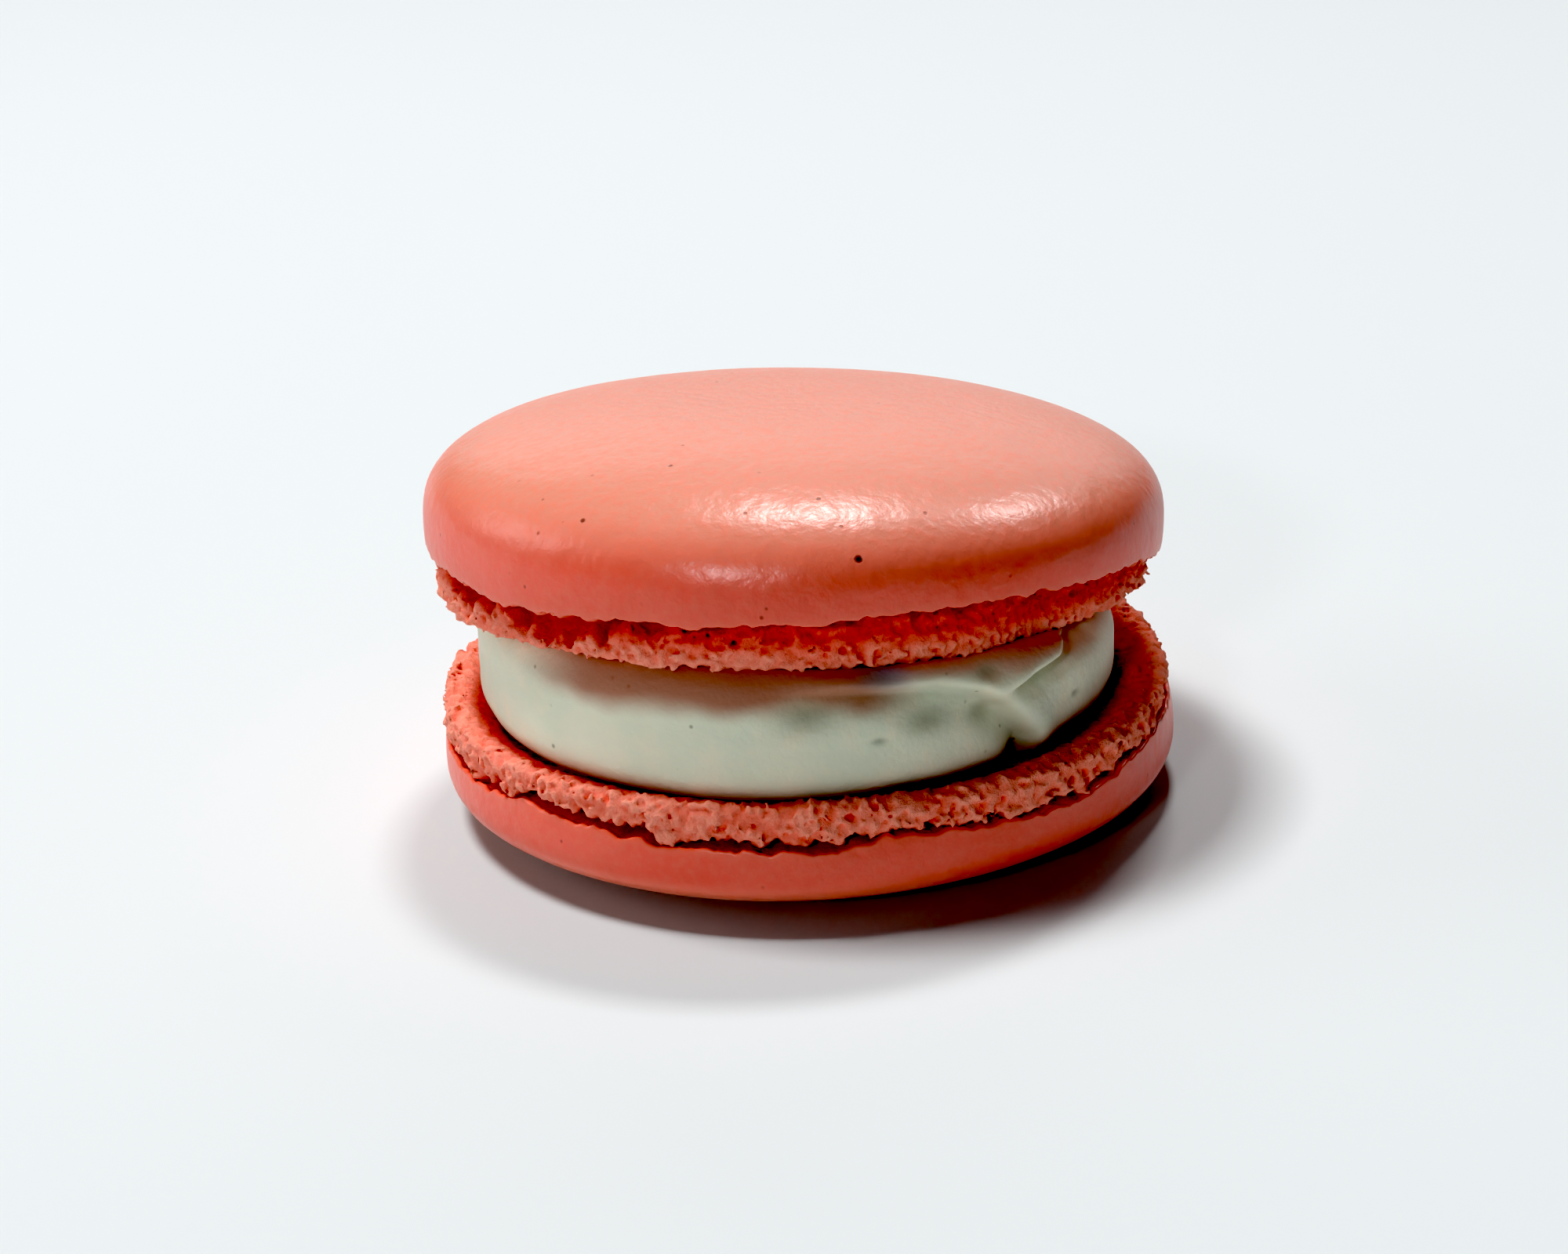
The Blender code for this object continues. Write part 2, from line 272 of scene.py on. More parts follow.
class Socket:
    """A value in a shader that takes part in Python expressions."""

    def __init__(self, nodes: "Nodes", link: bpy.types.NodeSocket) -> None:
        """Wrap an output socket."""
        self.nodes = nodes
        self.link = link

    def _math(self, operation: str, *values: object) -> "Socket":
        """Add one Math node."""
        return self.nodes.add("ShaderNodeMath", {"operation": operation}, dict(enumerate(values)))

    def __add__(self, other: object) -> "Socket":
        """Sum."""
        return self._math("ADD", self, other)

    __radd__ = __add__

    def __sub__(self, other: object) -> "Socket":
        """Difference."""
        return self._math("SUBTRACT", self, other)

    def __rsub__(self, other: object) -> "Socket":
        """Difference from a number."""
        return self._math("SUBTRACT", other, self)

    def __mul__(self, other: object) -> "Socket":
        """Product."""
        return self._math("MULTIPLY", self, other)

    __rmul__ = __mul__

    def __truediv__(self, other: object) -> "Socket":
        """Quotient."""
        return self._math("DIVIDE", self, other)

    def clamp(self) -> "Socket":
        """The value held between 0 and 1."""
        return self._math("MINIMUM", self._math("MAXIMUM", self, 0.0), 1.0)

    def above(self, low: float, high: float) -> "Socket":
        """0 below low, 1 above high and a straight rise between."""
        return ((self - low) / (high - low)).clamp()

    def most(self, other: object) -> "Socket":
        """The larger of two values."""
        return self._math("MAXIMUM", self, other)


@dataclass(frozen=True)
class Grain:
    """Noise with lumps of a size in millimetres, and the band of its values that makes patches."""

    size: float
    detail: float = 2.0
    rough: float = 0.5
    band: Band = (0.0, 1.0)


@dataclass(frozen=True)
class Glow:
    """Light that spreads below a surface: its share, its reach by colour, its depth in millimetres."""

    share: float
    reach: Colour
    depth: float


class Nodes:
    """Builds one material's node tree."""

    def __init__(self, name: str) -> None:
        """Start a material with an empty Principled shader."""
        self.material = bpy.data.materials.new(name)
        self.material.use_nodes = True
        self.tree = self.material.node_tree
        self.shader = self.tree.nodes["Principled BSDF"]

    def add(self, kind: str, settings: dict, inputs: dict, output: object = 0) -> Socket:
        """Add a node of any type.

        Args:
            kind: Blender's name of the node type.
            settings: Properties to set first.
            inputs: Value or link of each socket, by name or number.
            output: Name or number of the output to give back.

        Returns:
            The chosen output.
        """
        node = self.tree.nodes.new(kind)
        for key, value in settings.items():
            setattr(node, key, value)
        for key, value in inputs.items():
            self.feed(node.inputs[key], value)
        return Socket(self, node.outputs[output])

    def feed(self, socket: bpy.types.NodeSocket, value: object) -> None:
        """Link or set an input."""
        if isinstance(value, Socket):
            self.tree.links.new(value.link, socket)
        else:
            socket.default_value = value

    def place(self) -> Socket:
        """Position in the model's frame, in metres."""
        return self.add("ShaderNodeTexCoord", {}, {}, "Object")

    def mark(self, name: str) -> Socket:
        """A value stored on the mesh."""
        return self.add("ShaderNodeAttribute", {"attribute_name": name}, {}, "Fac")

    def grain(self, grain: Grain) -> Socket:
        """Noise from 0 to 1."""
        inputs = {"Vector": self.place(), "Scale": 1.0 / (grain.size * MM)}
        inputs |= {"Detail": grain.detail, "Roughness": grain.rough}
        return self.add("ShaderNodeTexNoise", {}, inputs, "Fac")

    def patches(self, grain: Grain) -> Socket:
        """Noise that rises from 0 to 1 over its band."""
        return self.grain(grain).above(*grain.band)

    def spots(self, size: float, reach: float) -> Socket:
        """Small round spots: 1 at their middle, 0 beyond their reach.

        Args:
            size: Mean spacing of the spots in millimetres.
            reach: Radius of a spot as a share of the spacing.

        Returns:
            Strength of the spots.
        """
        inputs = {"Vector": self.place(), "Scale": 1.0 / (size * MM)}
        distance = self.add("ShaderNodeTexVoronoi", {"feature": "F1"}, inputs, "Distance")
        return 1.0 - distance.above(SPOT_CORE * reach, reach)

    def mix(self, factor: object, first: object, second: object) -> Socket:
        """Mix two colours.

        Args:
            factor: Share of the second colour.
            first: Colour as numbers or a link.
            second: Colour as numbers or a link.

        Returns:
            The mixed colour.
        """
        node = self.add("ShaderNodeMix", {"data_type": "RGBA"}, {0: factor}, 2)
        inputs = node.link.node.inputs
        for index, colour in ((6, first), (7, second)):
            self.feed(inputs[index], colour if isinstance(colour, Socket) else (*colour, 1.0))
        return node

    def bump(self, height: Socket, distance: float, below: object = None) -> Socket:
        """Turn a height into a bent normal.

        Args:
            height: Height from 0 to 1.
            distance: Real depth of the relief in millimetres.
            below: Normal that this bump starts from.

        Returns:
            The bent normal.
        """
        inputs = {"Height": height, "Distance": distance * MM, "Strength": 1.0}
        if below is not None:
            inputs["Normal"] = below
        return self.add("ShaderNodeBump", {}, inputs)

    def set(self, **sockets: object) -> None:
        """Feed the Principled shader.

        Args:
            sockets: Value or link of each socket, by its name in lower case with _ for a space.
        """
        names = {socket.name.lower().replace(" ", "_"): socket for socket in self.shader.inputs}
        for name, value in sockets.items():
            self.feed(names[name], value)

    def glow(self, glow: Glow) -> None:
        """Let light spread below the surface."""
        self.set(subsurface_weight=glow.share, subsurface_radius=glow.reach)
        self.set(subsurface_scale=glow.depth * MM)


@dataclass(frozen=True)
class SkinFinish:
    """Satin baked skin: fine almond grain, soft mottling and a few dark pits."""

    name: str
    pits: Pits = ()
    colour: Colour = (0.92, 0.170, 0.122)
    pale: Colour = (0.88, 0.220, 0.150)
    deep: Colour = (0.90, 0.145, 0.098)
    # Paler tone of the dome's top: partly the skin's own paler top, partly a painted sheen.
    crown: Colour = (0.75, 0.297, 0.218)
    pit_colour: Colour = (0.10, 0.012, 0.008)
    cloud: Grain = Grain(6.0, 3.0, 0.55, (0.35, 0.65))
    almond: Grain = Grain(0.55, 2.0, 0.6, (0.42, 0.75))
    almond_share: float = 0.45
    specks: Pair = (1.9, 0.075)
    speck_patch: Grain = Grain(5.0, band=(0.45, 0.6))
    speck_share: float = 0.55
    darkest_pit: float = 0.26
    pit_core: float = 0.5
    torn_band: Band = (0.0, 0.5)
    torn_share: float = 0.5
    almond_height: float = 0.55
    grit: Grain = Grain(0.22, 1.0)
    grit_height: float = 0.25
    grit_depth: float = 0.045
    swell: Grain = Grain(2.2)
    swell_depth: float = 0.10
    roughness: float = 0.27
    almond_roughness: float = 0.14
    pit_roughness: float = 0.2
    glow: Glow = Glow(0.12, (1.0, 0.25, 0.12), 0.8)
    shine: float = 0.75

    def material(self) -> bpy.types.Material:
        """Build the finish.

        Returns:
            The material.
        """
        n = Nodes(self.name)
        fine = n.grain(self.almond)
        dark = n.spots(*self.specks) * n.patches(self.speck_patch) * self.speck_share
        for x, y, z, radius in self.pits:
            ends = {0: n.place(), 1: (x * MM, y * MM, z * MM)}
            away = n.add("ShaderNodeVectorMath", {"operation": "DISTANCE"}, ends, "Value")
            pit = 1.0 - away.above(self.pit_core * radius * MM, radius * MM)
            dark = dark.most(pit * min(1.0, radius / self.darkest_pit))
        torn = 1.0 - n.mark("edge").above(*self.torn_band)
        colour = n.mix(n.patches(self.cloud), self.deep, self.colour)
        # Paler towards the top of the dome: partly the skin's own tone, partly a painted sheen.
        colour = n.mix(n.mark("crown"), colour, self.crown)
        colour = n.mix(fine.above(*self.almond.band) * self.almond_share, colour, self.pale)
        colour = n.mix(dark, colour, self.pit_colour)
        colour = n.mix(torn * self.torn_share, colour, self.pale)
        height = fine * self.almond_height + n.grain(self.grit) * self.grit_height - dark
        normal = n.bump(n.grain(self.swell), self.swell_depth, n.bump(height, self.grit_depth))
        roughness = self.roughness + self.almond_roughness * fine + self.pit_roughness * dark
        n.set(base_color=colour, roughness=roughness, normal=normal, specular_ior_level=self.shine)
        n.glow(self.glow)
        return n.material


@dataclass(frozen=True)
class CrumbFinish:
    """Broken meringue: matte, lighter on its tips, with painted shade deep red in its hollows and crack and
    a painted shade ring beside the cream.
    """

    name: str
    tip: Colour = (0.98, 0.38, 0.29)
    body: Colour = (0.96, 0.27, 0.20)
    # Deep red of the painted shade in the crumb's hollows, pits and crack.
    hollow_shade: Colour = (0.70, 0.065, 0.045)
    # Deep red of the painted shade ring on the crumb beside the cream.
    ring_shade: Colour = (0.45, 0.030, 0.020)
    tip_band: Band = (-0.15, 0.18)
    tip_grain: float = 0.4
    crust: Grain = Grain(0.32, 3.0, 0.65, (0.32, 0.48))
    crust_gap_shade_share: float = 0.28
    patch: Grain = Grain(0.8, band=(0.38, 0.58))
    least_patch: float = 0.4
    pit_shade_band: Band = (0.15, 0.75)
    ring_shade_share: float = 0.8
    grit: Grain = Grain(0.14, 1.0)
    grit_share: float = 0.3
    depth: float = 0.14
    roughness: float = 0.78
    crust_roughness: float = 0.12
    glow: Glow = Glow(0.15, (1.0, 0.22, 0.10), 0.6)
    shine: float = 0.3

    def material(self) -> bpy.types.Material:
        """Build the finish.

        Returns:
            The material.
        """
        n = Nodes(self.name)
        pit = n.mark("pit")
        fine = n.grain(self.crust)
        patchy = self.least_patch + (1.0 - self.least_patch) * n.patches(self.patch)
        # Lighter on the standing tips; the same pit mark drives the painted shade in the hollows.
        near_tip = (pit + self.tip_grain * (fine - 0.5)).above(*self.tip_band)
        colour = n.mix(near_tip, self.tip, self.body)
        # Painted shade: darker in the gaps where the crust bump is low, and where the pit mark runs deep in
        # pits and the crack.
        colour = n.mix((1.0 - fine.above(*self.crust.band)) * self.crust_gap_shade_share, colour, self.hollow_shade)
        colour = n.mix(pit.above(*self.pit_shade_band) * patchy, colour, self.hollow_shade)
        # Painted shade: a dark ring on the crumb beside the cream.
        colour = n.mix(n.mark("ring_shade") * self.ring_shade_share, colour, self.ring_shade)
        height = fine * (1.0 - self.grit_share) + n.grain(self.grit) * self.grit_share
        roughness = self.roughness + self.crust_roughness * fine
        n.set(base_color=colour, roughness=roughness, normal=n.bump(height, self.depth))
        n.set(specular_ior_level=self.shine)
        n.glow(self.glow)
        return n.material


@dataclass(frozen=True)
class CreamFinish:
    """Pale grey-green cream with fine dark specks, painted reddish shade under the top shell and painted red
    bounce light near both shells.
    """

    name: str
    colour: Colour = (0.87, 0.86, 0.69)
    cool: Colour = (0.73, 0.80, 0.64)
    warm: Colour = (0.93, 0.84, 0.66)
    # Painted reddish shade and red bounce light, laid on near the shells.
    tinge: Colour = (0.44, 0.155, 0.10)
    smear: Colour = (0.42, 0.45, 0.56)
    # Colour of the fine dark specks, and of the painted shade in dents and grooves.
    speck_and_shade_colour: Colour = (0.16, 0.17, 0.09)
    mottle: Grain = Grain(5.0, band=(0.40, 0.64))
    least_mottle: float = 0.5
    warm_patch: Grain = Grain(1.6, band=(0.5, 0.75))
    warm_share: float = 0.5
    specks: Pair = (1.7, 0.10)
    speck_patch: Grain = Grain(3.0, band=(0.48, 0.56))
    speck_share: float = 0.6
    hollow_shade_share: float = 0.45
    relief: Grain = Grain(0.5)
    depth: float = 0.05
    roughness: float = 0.50
    sheen: Grain = Grain(0.9)
    sheen_roughness: float = 0.1
    glow: Glow = Glow(0.25, (1.0, 0.9, 0.6), 0.7)
    shine: float = 0.4

    def material(self) -> bpy.types.Material:
        """Build the finish.

        Returns:
            The material.
        """
        n = Nodes(self.name)
        mottled = self.least_mottle + (1.0 - self.least_mottle) * n.patches(self.mottle)
        specks = n.spots(*self.specks) * n.patches(self.speck_patch)
        colour = n.mix(mottled, self.cool, self.colour)
        colour = n.mix(n.patches(self.warm_patch) * self.warm_share, colour, self.warm)
        colour = n.mix(specks * self.speck_share, colour, self.speck_and_shade_colour)
        # Painted shade under the top shell with painted red bounce light, and painted red bounce near the
        # bottom shell.
        colour = n.mix(n.mark("tinge"), colour, self.tinge)
        colour = n.mix(n.mark("smear"), colour, self.smear)
        # Painted shade in the cream's dents and fold grooves.
        colour = n.mix(n.mark("hollow_shade") * self.hollow_shade_share, colour, self.speck_and_shade_colour)
        roughness = self.roughness + self.sheen_roughness * n.grain(self.sheen)
        normal = n.bump(n.grain(self.relief), self.depth)
        n.set(base_color=colour, roughness=roughness, normal=normal, specular_ior_level=self.shine)
        n.glow(self.glow)
        return n.material


@dataclass(frozen=True)
class FloorFinish:
    """Plain pale table top."""

    name: str = "pale_table"
    colour: Colour = (0.67, 0.70, 0.71)
    shade: Colour = (0.66, 0.70, 0.715)
    cloud: Grain = Grain(60.0, 1.0)
    cloud_share: float = 0.25
    roughness: float = 0.7

    def material(self) -> bpy.types.Material:
        """Build the finish.

        Returns:
            The material.
        """
        n = Nodes(self.name)
        colour = n.mix(n.grain(self.cloud) * self.cloud_share, self.colour, self.shade)
        n.set(base_color=colour, roughness=self.roughness)
        return n.material


class SurfaceNet:
    """Turns a field of distances on a grid into a closed mesh."""

    def __init__(self, values: np.ndarray, origin: np.ndarray, step: float) -> None:
        """Keep the grid.

        Args:
            values: Signed distances at the grid's points, negative inside.
            origin: Place of the first grid point in millimetres.
            step: Grid spacing in millimetres.
        """
        self.values = values
        self.origin = origin
        self.step = step

    def _corner(self, grid: np.ndarray, corner: tuple[int, int, int]) -> np.ndarray:
        """The grid shifted so that each cell reads one of its corners."""
        size = grid.shape
        return grid[tuple(slice(bit, size[axis] - 1 + bit) for axis, bit in enumerate(corner))]

    def points(self) -> tuple[np.ndarray, np.ndarray]:
        """One point in each cell that the surface crosses.

        Returns:
            The points in millimetres, and a grid with each cell's point number or -1.
        """
        inside = self.values < 0.0
        corners = list(itertools.product((0, 1), repeat=3))
        count_inside = sum(self._corner(inside, corner).astype(np.int8) for corner in corners)
        cells = np.argwhere((count_inside > 0) & (count_inside < 8))
        at = {corner: self.values[tuple((cells + np.array(corner)).T)] for corner in corners}
        total = np.zeros((len(cells), 3))
        crossings = np.zeros(len(cells))
        for corner in corners:
            for axis in range(3):
                if corner[axis]:
                    continue
                other = tuple(1 if k == axis else bit for k, bit in enumerate(corner))
                first, second = at[corner], at[other]
                crossed = (first < 0.0) != (second < 0.0)
                share = np.where(crossed, first / np.where(crossed, first - second, 1.0), 0.0)
                spot = np.array(corner, float)[None, :] + share[:, None] * np.eye(3)[axis][None, :]
                total += spot * crossed[:, None]
                crossings += crossed
        points = self.origin + (cells + total / crossings[:, None]) * self.step
        index = np.full(tuple(n - 1 for n in self.values.shape), -1, np.int64)
        index[tuple(cells.T)] = np.arange(len(cells))
        return points, index

    def faces(self, index: np.ndarray) -> np.ndarray:
        """Quads round each grid edge that the surface crosses.

        Args:
            index: Each cell's point number.

        Returns:
            Corner numbers of the quads, facing out.
        """
        inside = self.values < 0.0
        quads = []
        for axis in range(3):
            first, second = (axis + 1) % 3, (axis + 2) % 3
            low = [slice(1, -1)] * 3
            low[axis] = slice(0, -1)
            high = list(low)
            high[axis] = slice(1, None)
            crossed = inside[tuple(low)] != inside[tuple(high)]
            spots = np.argwhere(crossed)
            for other in (first, second):
                spots[:, other] += 1
            ring = []
            for back_first, back_second in ((1, 1), (0, 1), (0, 0), (1, 0)):
                cell = spots.copy()
                cell[:, first] -= back_first
                cell[:, second] -= back_second
                ring.append(index[tuple(cell.T)])
            ring = np.stack(ring, -1)
            outward = inside[tuple(spots.T)]
            quads.append(np.where(outward[:, None], ring, ring[:, ::-1]))
        quads = np.concatenate(quads)
        return quads[(quads >= 0).all(axis=1)]


@dataclass(frozen=True)
class CrumbRelief:
    """Relief of the broken meringue, with sizes, heights and fades in millimetres."""

    froth_size: float = 0.95
    froth_height: float = 0.16
    crumble_size: float = 0.45
    crumble_height: float = 0.30
    rough_sizes: Pair = (1.7, 0.30)
    rough_heights: Pair = (0.45, 1.05)
    face_share: float = 0.12
    side_share: float = 0.15
    side_start: float = 1.3
    side_fade: float = 1.2
    hidden_radius: float = 14.5
    hidden_fade: float = 1.5
    skin_lap: float = 0.25
    skin_fade: float = 0.4


@dataclass(frozen=True)
class Bubbles:
    """Round pores in the crumb face and, as many again, in the craggy side."""

    count: int = 1200
    least: float = 0.09
    spread: float = 0.22
    rarity: int = 4
    side_depths: Band = (-0.1, 1.4)
    side_low: float = 0.1
    face_inner: float = 16.0
    face_past_foot: float = 0.3
    face_sink: float = 0.3
    face_size: float = 0.75
    rim: float = 0.3


@dataclass(frozen=True)
class Shell:
    """One baked shell in its own frame: crumb face at z = 0, dome up, sizes in millimetres.

    Tables hold pairs of an angle in degrees, seen from above with the front at -90, and a value.
    """

    node: str
    prefix: str
    radius: float
    height: float
    widest_height: float
    dome_power: float
    dish_depth: float
    crack_depth: float
    upturned: bool
    seed: int
    skin_edge: Table
    foot_edge: Table
    crack_opening: Table
    nod: float = 0.0
    lean: float = 0.0
    shift: Triple = (0.0, 0.0, 0.0)
    pits: Pits = ()
    edge_sizes: Triple = (2.4, 0.9, 0.36)
    edge_ragged: Triple = (0.14, 0.20, 0.16)
    crack_sizes: Triple = (3.0, 1.2, 0.6)
    crack_ragged: Triple = (0.60, 0.70, 0.55)
    least_opening: float = 0.02
    rim_tuck: float = 0.985
    tuck_curve: float = 2.6
    dish_edge: float = 18.6
    skin_thickness: float = 0.38
    foot_swell: float = 0.42
    foot_round: float = 0.5
    skin_bond: float = 0.12
    crack_overlap: float = 0.30
    crack_slope: float = 0.45
    core_rise: float = 0.6
    core_drop: float = 0.8
    seam: float = 0.25
    # Strength and start of the painted shade inside the crack.
    crack_shade: float = 0.8
    shade_start: float = 0.25
    relief: CrumbRelief = CrumbRelief()
    bubbles: Bubbles = Bubbles()
    voxel: float = 0.14
    side_margin: float = 0.8
    low_margin: float = 0.6
    high_margin: float = 1.2
    relief_reach: float = 1.1
    most_triangles: int = 170000
    around_count: int = 600
    wall_rings: int = 14
    dome_rings: int = 62
    dome_end: float = 0.995
    edge_round: Table = ((0.10, -0.05), (0.26, -0.04))
    inner_lift: float = 0.08
    inner_stops: tuple[float, ...] = (0.08, 0.2, 0.4, 0.7)
    crown_share: float = 0.62
    swell_sizes: Triple = (14.0, 5.0, 2.0)
    swell_heights: Triple = (0.11, 0.035, 0.012)
    swell_depth: float = 4.0
    skin_inset: float = 0.06
    # Centre, radius and width of the painted shade ring on the crumb beside the cream.
    ring_shade_centre: Pair = (0.0, 0.0)
    ring_shade_radius: float = 0.0
    ring_shade_width: float = 1.2

    def placed(self, points: np.ndarray) -> np.ndarray:
        """Move points into the model's frame.

        Args:
            points: Places in the shell's own frame, one row each.

        Returns:
            The same places on the standing macaron, held inside the part's box.
        """
        if self.upturned:
            turned = points * np.array([1.0, -1.0, -1.0]) + np.array([0.0, 0.0, self.height])
        else:
            nod = Matrix.Rotation(math.radians(self.nod), 3, "X")
            turn = nod @ Matrix.Rotation(math.radians(self.lean), 3, "Y")
            turned = points @ np.array(turn).T + np.array(self.shift)
        return np.clip(turned + STAND, BOX_LOW, BOX_HIGH)

    def seen(self, angle: np.ndarray) -> np.ndarray:
        """Angle in degrees as seen from above."""
        return -angle if self.upturned else angle

    def dome_radius(self, height: np.ndarray) -> np.ndarray:
        """Radius of the dome.

        Args:
            height: Heights above the crumb face.

        Returns:
            The skin's radius at each height.
        """
        drop = np.clip((self.widest_height - height) / self.widest_height, 0.0, None)
        low = self.radius * (1.0 - self.tuck_curve * (1.0 - self.rim_tuck) * drop * drop)
        share = np.clip((height - self.widest_height) / (self.height - self.widest_height), 0.0, 1.0)
        high = self.radius * (1.0 - share ** self.dome_power) ** (1.0 / self.dome_power)
        return np.where(height < self.widest_height, low, high)

    def lumps(self, draw: Draw, sizes: tuple[float, ...], shares: tuple[float, ...] = (1.0,)) -> Lumps:
        """Noise of one of the shell's own draws."""
        return Lumps(self.seed + draw.value, sizes, shares)

    def _along_rim(self, lumps: Lumps, angle: np.ndarray) -> np.ndarray:
        """Noise along the rim at angles in degrees."""
        turn = np.radians(angle)
        return lumps.at(np.stack([np.cos(turn), np.sin(turn), np.zeros_like(turn)], -1) * self.radius)

    def torn_edge(self, angle: np.ndarray) -> np.ndarray:
        """Height of the skin's torn lower edge at angles in degrees."""
        ragged = self._along_rim(self.lumps(Draw.EDGE, self.edge_sizes, self.edge_ragged), angle)
        return around(self.skin_edge, self.seen(angle)) + ragged

    def opening(self, angle: np.ndarray) -> np.ndarray:
        """Height of the crack at angles in degrees."""
        ragged = self._along_rim(self.lumps(Draw.CRACK, self.crack_sizes, self.crack_ragged), angle)
        return around(self.crack_opening, self.seen(angle)) * np.clip(1.0 + ragged, self.least_opening, None)

    @staticmethod
    def _read(curve: Callable[[np.ndarray], np.ndarray], angle: np.ndarray) -> np.ndarray:
        """A curve round the rim, worked out at close steps and read between them."""
        return np.interp(angle, RIM_STEPS, curve(RIM_STEPS))

    def plain_field(self, points: np.ndarray) -> tuple[np.ndarray, np.ndarray]:
        """Distance to the crumb without its relief.

        Args:
            points: Places in the shell's own frame.

        Returns:
            Signed distance to the crumb, and depth below an uncracked side.
        """
        x, y, z = points.T
        r = np.hypot(x, y)
        angle = np.degrees(np.arctan2(y, x))
        edge = self._read(self.torn_edge, angle)
        opening = self._read(self.opening, angle)
        foot = around(self.foot_edge, self.seen(angle))
        ledge = edge - opening
        dish = self.dish_depth * (1.0 - ease((r - self.dish_edge) / (foot - self.dish_edge)))
        across = r - (foot + self.foot_swell) + self.foot_round
        up = np.abs(z - 0.5 * (ledge + dish)) - 0.5 * (ledge - dish) + self.foot_round
        beyond = np.hypot(np.maximum(across, 0.0), np.maximum(up, 0.0))
        slab = beyond + np.minimum(np.maximum(across, up), 0.0) - self.foot_round
        floor = foot - self.crack_depth
        under_skin = self.dome_radius(np.maximum(z, edge)) - self.skin_thickness + self.skin_bond
        share = ease((z - (edge - self.crack_overlap * opening)) / self.crack_slope)
        core = np.maximum(r - (floor + (under_skin - floor) * share), ledge - self.core_drop - z)
        core = np.maximum(core, z - (self.widest_height + self.core_rise))
        overlap = np.clip(0.5 + 0.5 * (core - slab) / self.seam, 0.0, 1.0)
        distance = core + (slab - core) * overlap - self.seam * overlap * (1.0 - overlap)
        side = foot + self.foot_swell + (self.radius - foot - self.foot_swell) * ease(z / edge)
        return distance, -np.maximum(r - side, dish - z)

    def roughness(self, spots: np.ndarray) -> np.ndarray:
        """Relief of the broken meringue.

        Args:
            spots: Places near the crumb's surface, in the shell's own frame.

        Returns:
            Distance to add at each place.
        """
        relief = self.relief
        r = np.hypot(spots[:, 0], spots[:, 1])
        angle = np.degrees(np.arctan2(spots[:, 1], spots[:, 0]))
        foot = around(self.foot_edge, self.seen(angle))
        edge = self._read(self.torn_edge, angle)
        below_skin = ease((edge + relief.skin_lap - spots[:, 2]) / relief.skin_fade)
        visible = ease((r - relief.hidden_radius) / relief.hidden_fade) * below_skin
        side = ease((r - foot + relief.side_start) / relief.side_fade)
        froth = 0.5 - np.abs(self.lumps(Draw.FROTH, (relief.froth_size,)).at(spots)) * 2.0
        crumble = 0.5 - np.abs(self.lumps(Draw.CRUMBLE, (relief.crumble_size,)).at(spots)) * 2.0
        rough = self.lumps(Draw.ROUGH, relief.rough_sizes, relief.rough_heights).at(spots)
        height = relief.froth_height * froth + relief.crumble_height * crumble + rough
        return height * visible * (relief.face_share + relief.side_share * side)

    def crumb(self) -> bpy.types.Object:
        """The broken meringue: crumb face, craggy foot and the torn crack's inside.

        Returns:
            The crumb as an object.
        """
        step = self.voxel
        reach = self.radius + self.side_margin
        flat = np.arange(-reach, reach, step)
        tall = np.arange(-self.low_margin, self.widest_height + self.high_margin, step)
        grid = np.stack(np.meshgrid(flat, flat, tall, indexing="ij"), -1)
        shape = grid.shape[:3]
        points = grid.reshape(-1, 3)
        values, _ = self.plain_field(points)
        near = np.abs(values) < self.relief_reach
        values[near] += self.roughness(points[near])
        values = values.reshape(shape)
        self._blow_bubbles(values, flat, tall)
        net = SurfaceNet(values, np.array([flat[0], flat[0], tall[0]]), step)
        net_points, index = net.points()
        faces = net.faces(index)
        thing = Mesh.make(self.prefix + "_crumb", net_points, faces.tolist(), {})
        Mesh.thin_out(thing, self.most_triangles)
        own = Mesh.points_of(thing)
        distance, depth = self.plain_field(own)
        # The pit mark is the depth below the plain crumb and inside the crack; the crumb finish paints shade
        # from it.
        Mesh.mark(thing, "pit", np.maximum(-distance, depth * self.crack_shade - self.shade_start))
        placed = self.placed(own)
        # Painted shade: the crumb darkens within the ring width of the cream's edge.
        off_x, off_y = (placed[:, :2] - STAND[:2] - np.array(self.ring_shade_centre)).T
        from_cream = np.hypot(off_x, off_y) - self.ring_shade_radius
        Mesh.mark(thing, "ring_shade", 1.0 - ease(from_cream / self.ring_shade_width))
        thing.data.vertices.foreach_set("co", (placed * MM).astype(np.float32).reshape(-1))
        thing.data.shade_smooth()
        return thing

